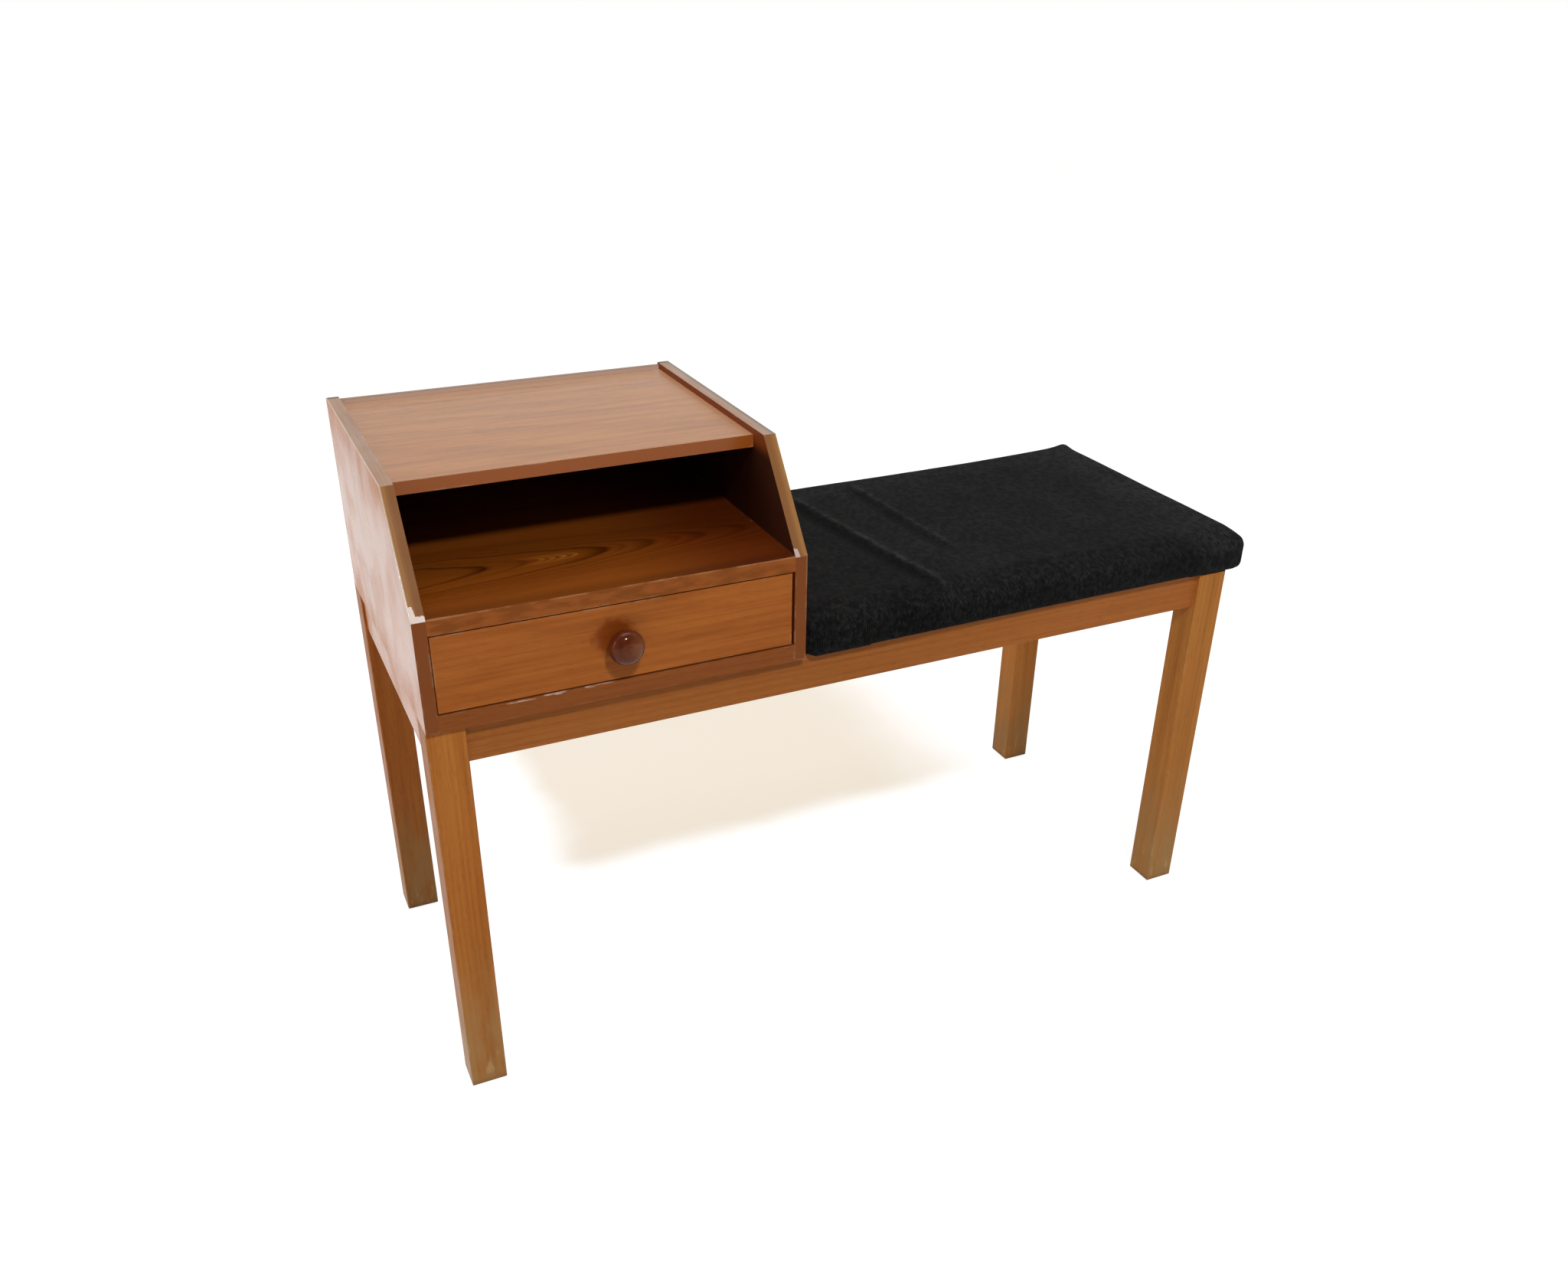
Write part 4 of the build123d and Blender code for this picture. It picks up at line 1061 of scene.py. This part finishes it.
def sky():
    """White behind the bench and in its gloss, and a plain level of light on it."""
    world = bpy.data.worlds.new("studio")
    bpy.context.scene.world = world
    world.use_nodes = True
    tree = world.node_tree
    tree.nodes.clear()

    def add(kind, **settings):
        node = tree.nodes.new(kind)
        for key, value in settings.items():
            setattr(node, key, value)
        return node

    path = add("ShaderNodeLightPath").outputs
    parts = add("ShaderNodeSeparateXYZ")
    tree.links.new(add("ShaderNodeTexCoord").outputs["Generated"], parts.inputs[0])
    behind = add("ShaderNodeMapRange", interpolation_type="SMOOTHSTEP")
    for socket, number in zip(list(behind.inputs)[1:5], (-DARK_TURN, DARK_TURN, DARK_SIDE, 1.0)):
        socket.default_value = number
    tree.links.new(parts.outputs[1], behind.inputs[0])
    plain, gloss, white = (add("ShaderNodeBackground") for _ in range(3))
    plain.inputs["Color"].default_value = SKY_COLOUR
    plain.inputs["Strength"].default_value = SKY_LEVEL
    for node in (gloss, white):
        node.inputs["Color"].default_value = (1.0, 1.0, 1.0, 1.0)
    tree.links.new(behind.outputs[0], gloss.inputs["Strength"])
    lower, upper = add("ShaderNodeMixShader"), add("ShaderNodeMixShader")
    shown = add("ShaderNodeMath", operation="MAXIMUM")
    tree.links.new(path["Is Glossy Ray"], shown.inputs[0])
    tree.links.new(path["Is Transmission Ray"], shown.inputs[1])
    tree.links.new(shown.outputs[0], lower.inputs[0])
    tree.links.new(plain.outputs[0], lower.inputs[1])
    tree.links.new(gloss.outputs[0], lower.inputs[2])
    tree.links.new(path["Is Camera Ray"], upper.inputs[0])
    tree.links.new(lower.outputs[0], upper.inputs[1])
    tree.links.new(white.outputs[0], upper.inputs[2])
    tree.links.new(upper.outputs[0], add("ShaderNodeOutputWorld").inputs["Surface"])


def lamps():
    """Soft area lamps that look at the middle of the bench."""
    for name, direction, distance, size, power in LAMPS:
        data = bpy.data.lights.new(name, "AREA")
        data.size = size
        data.energy = power
        data.color = LAMP_COLOUR
        lamp = bpy.data.objects.new(name, data)
        lamp.location = TARGET + direction.normalized() * distance
        lamp.rotation_euler = (-direction).to_track_quat("-Z", "Y").to_euler()
        bpy.context.scene.collection.objects.link(lamp)


def camera():
    """The camera that was fitted to the photograph."""
    data = bpy.data.cameras.new("camera")
    data.sensor_width = SENSOR_WIDTH
    data.lens = FOCAL_PIXELS / IMAGE_WIDTH * SENSOR_WIDTH
    data.shift_x = (IMAGE_WIDTH / 2 - OPTICAL_CENTRE[0]) / IMAGE_WIDTH
    data.shift_y = (OPTICAL_CENTRE[1] - IMAGE_HEIGHT / 2) / IMAGE_WIDTH
    made = bpy.data.objects.new("camera", data)
    made.location = CAMERA_PLACE
    made.rotation_euler = Euler([math.radians(angle) for angle in CAMERA_TURN_DEGREES])
    bpy.context.scene.collection.objects.link(made)
    bpy.context.scene.camera = made


dress_frame()
dress_cabinet()
for ease, nodes in EASED.items():
    for node_name in nodes:
        ease_edges(node_name, ease)
seat_pad()
floor()
sky()
lamps()
camera()
bpy.context.scene.view_settings.view_transform = "Standard"
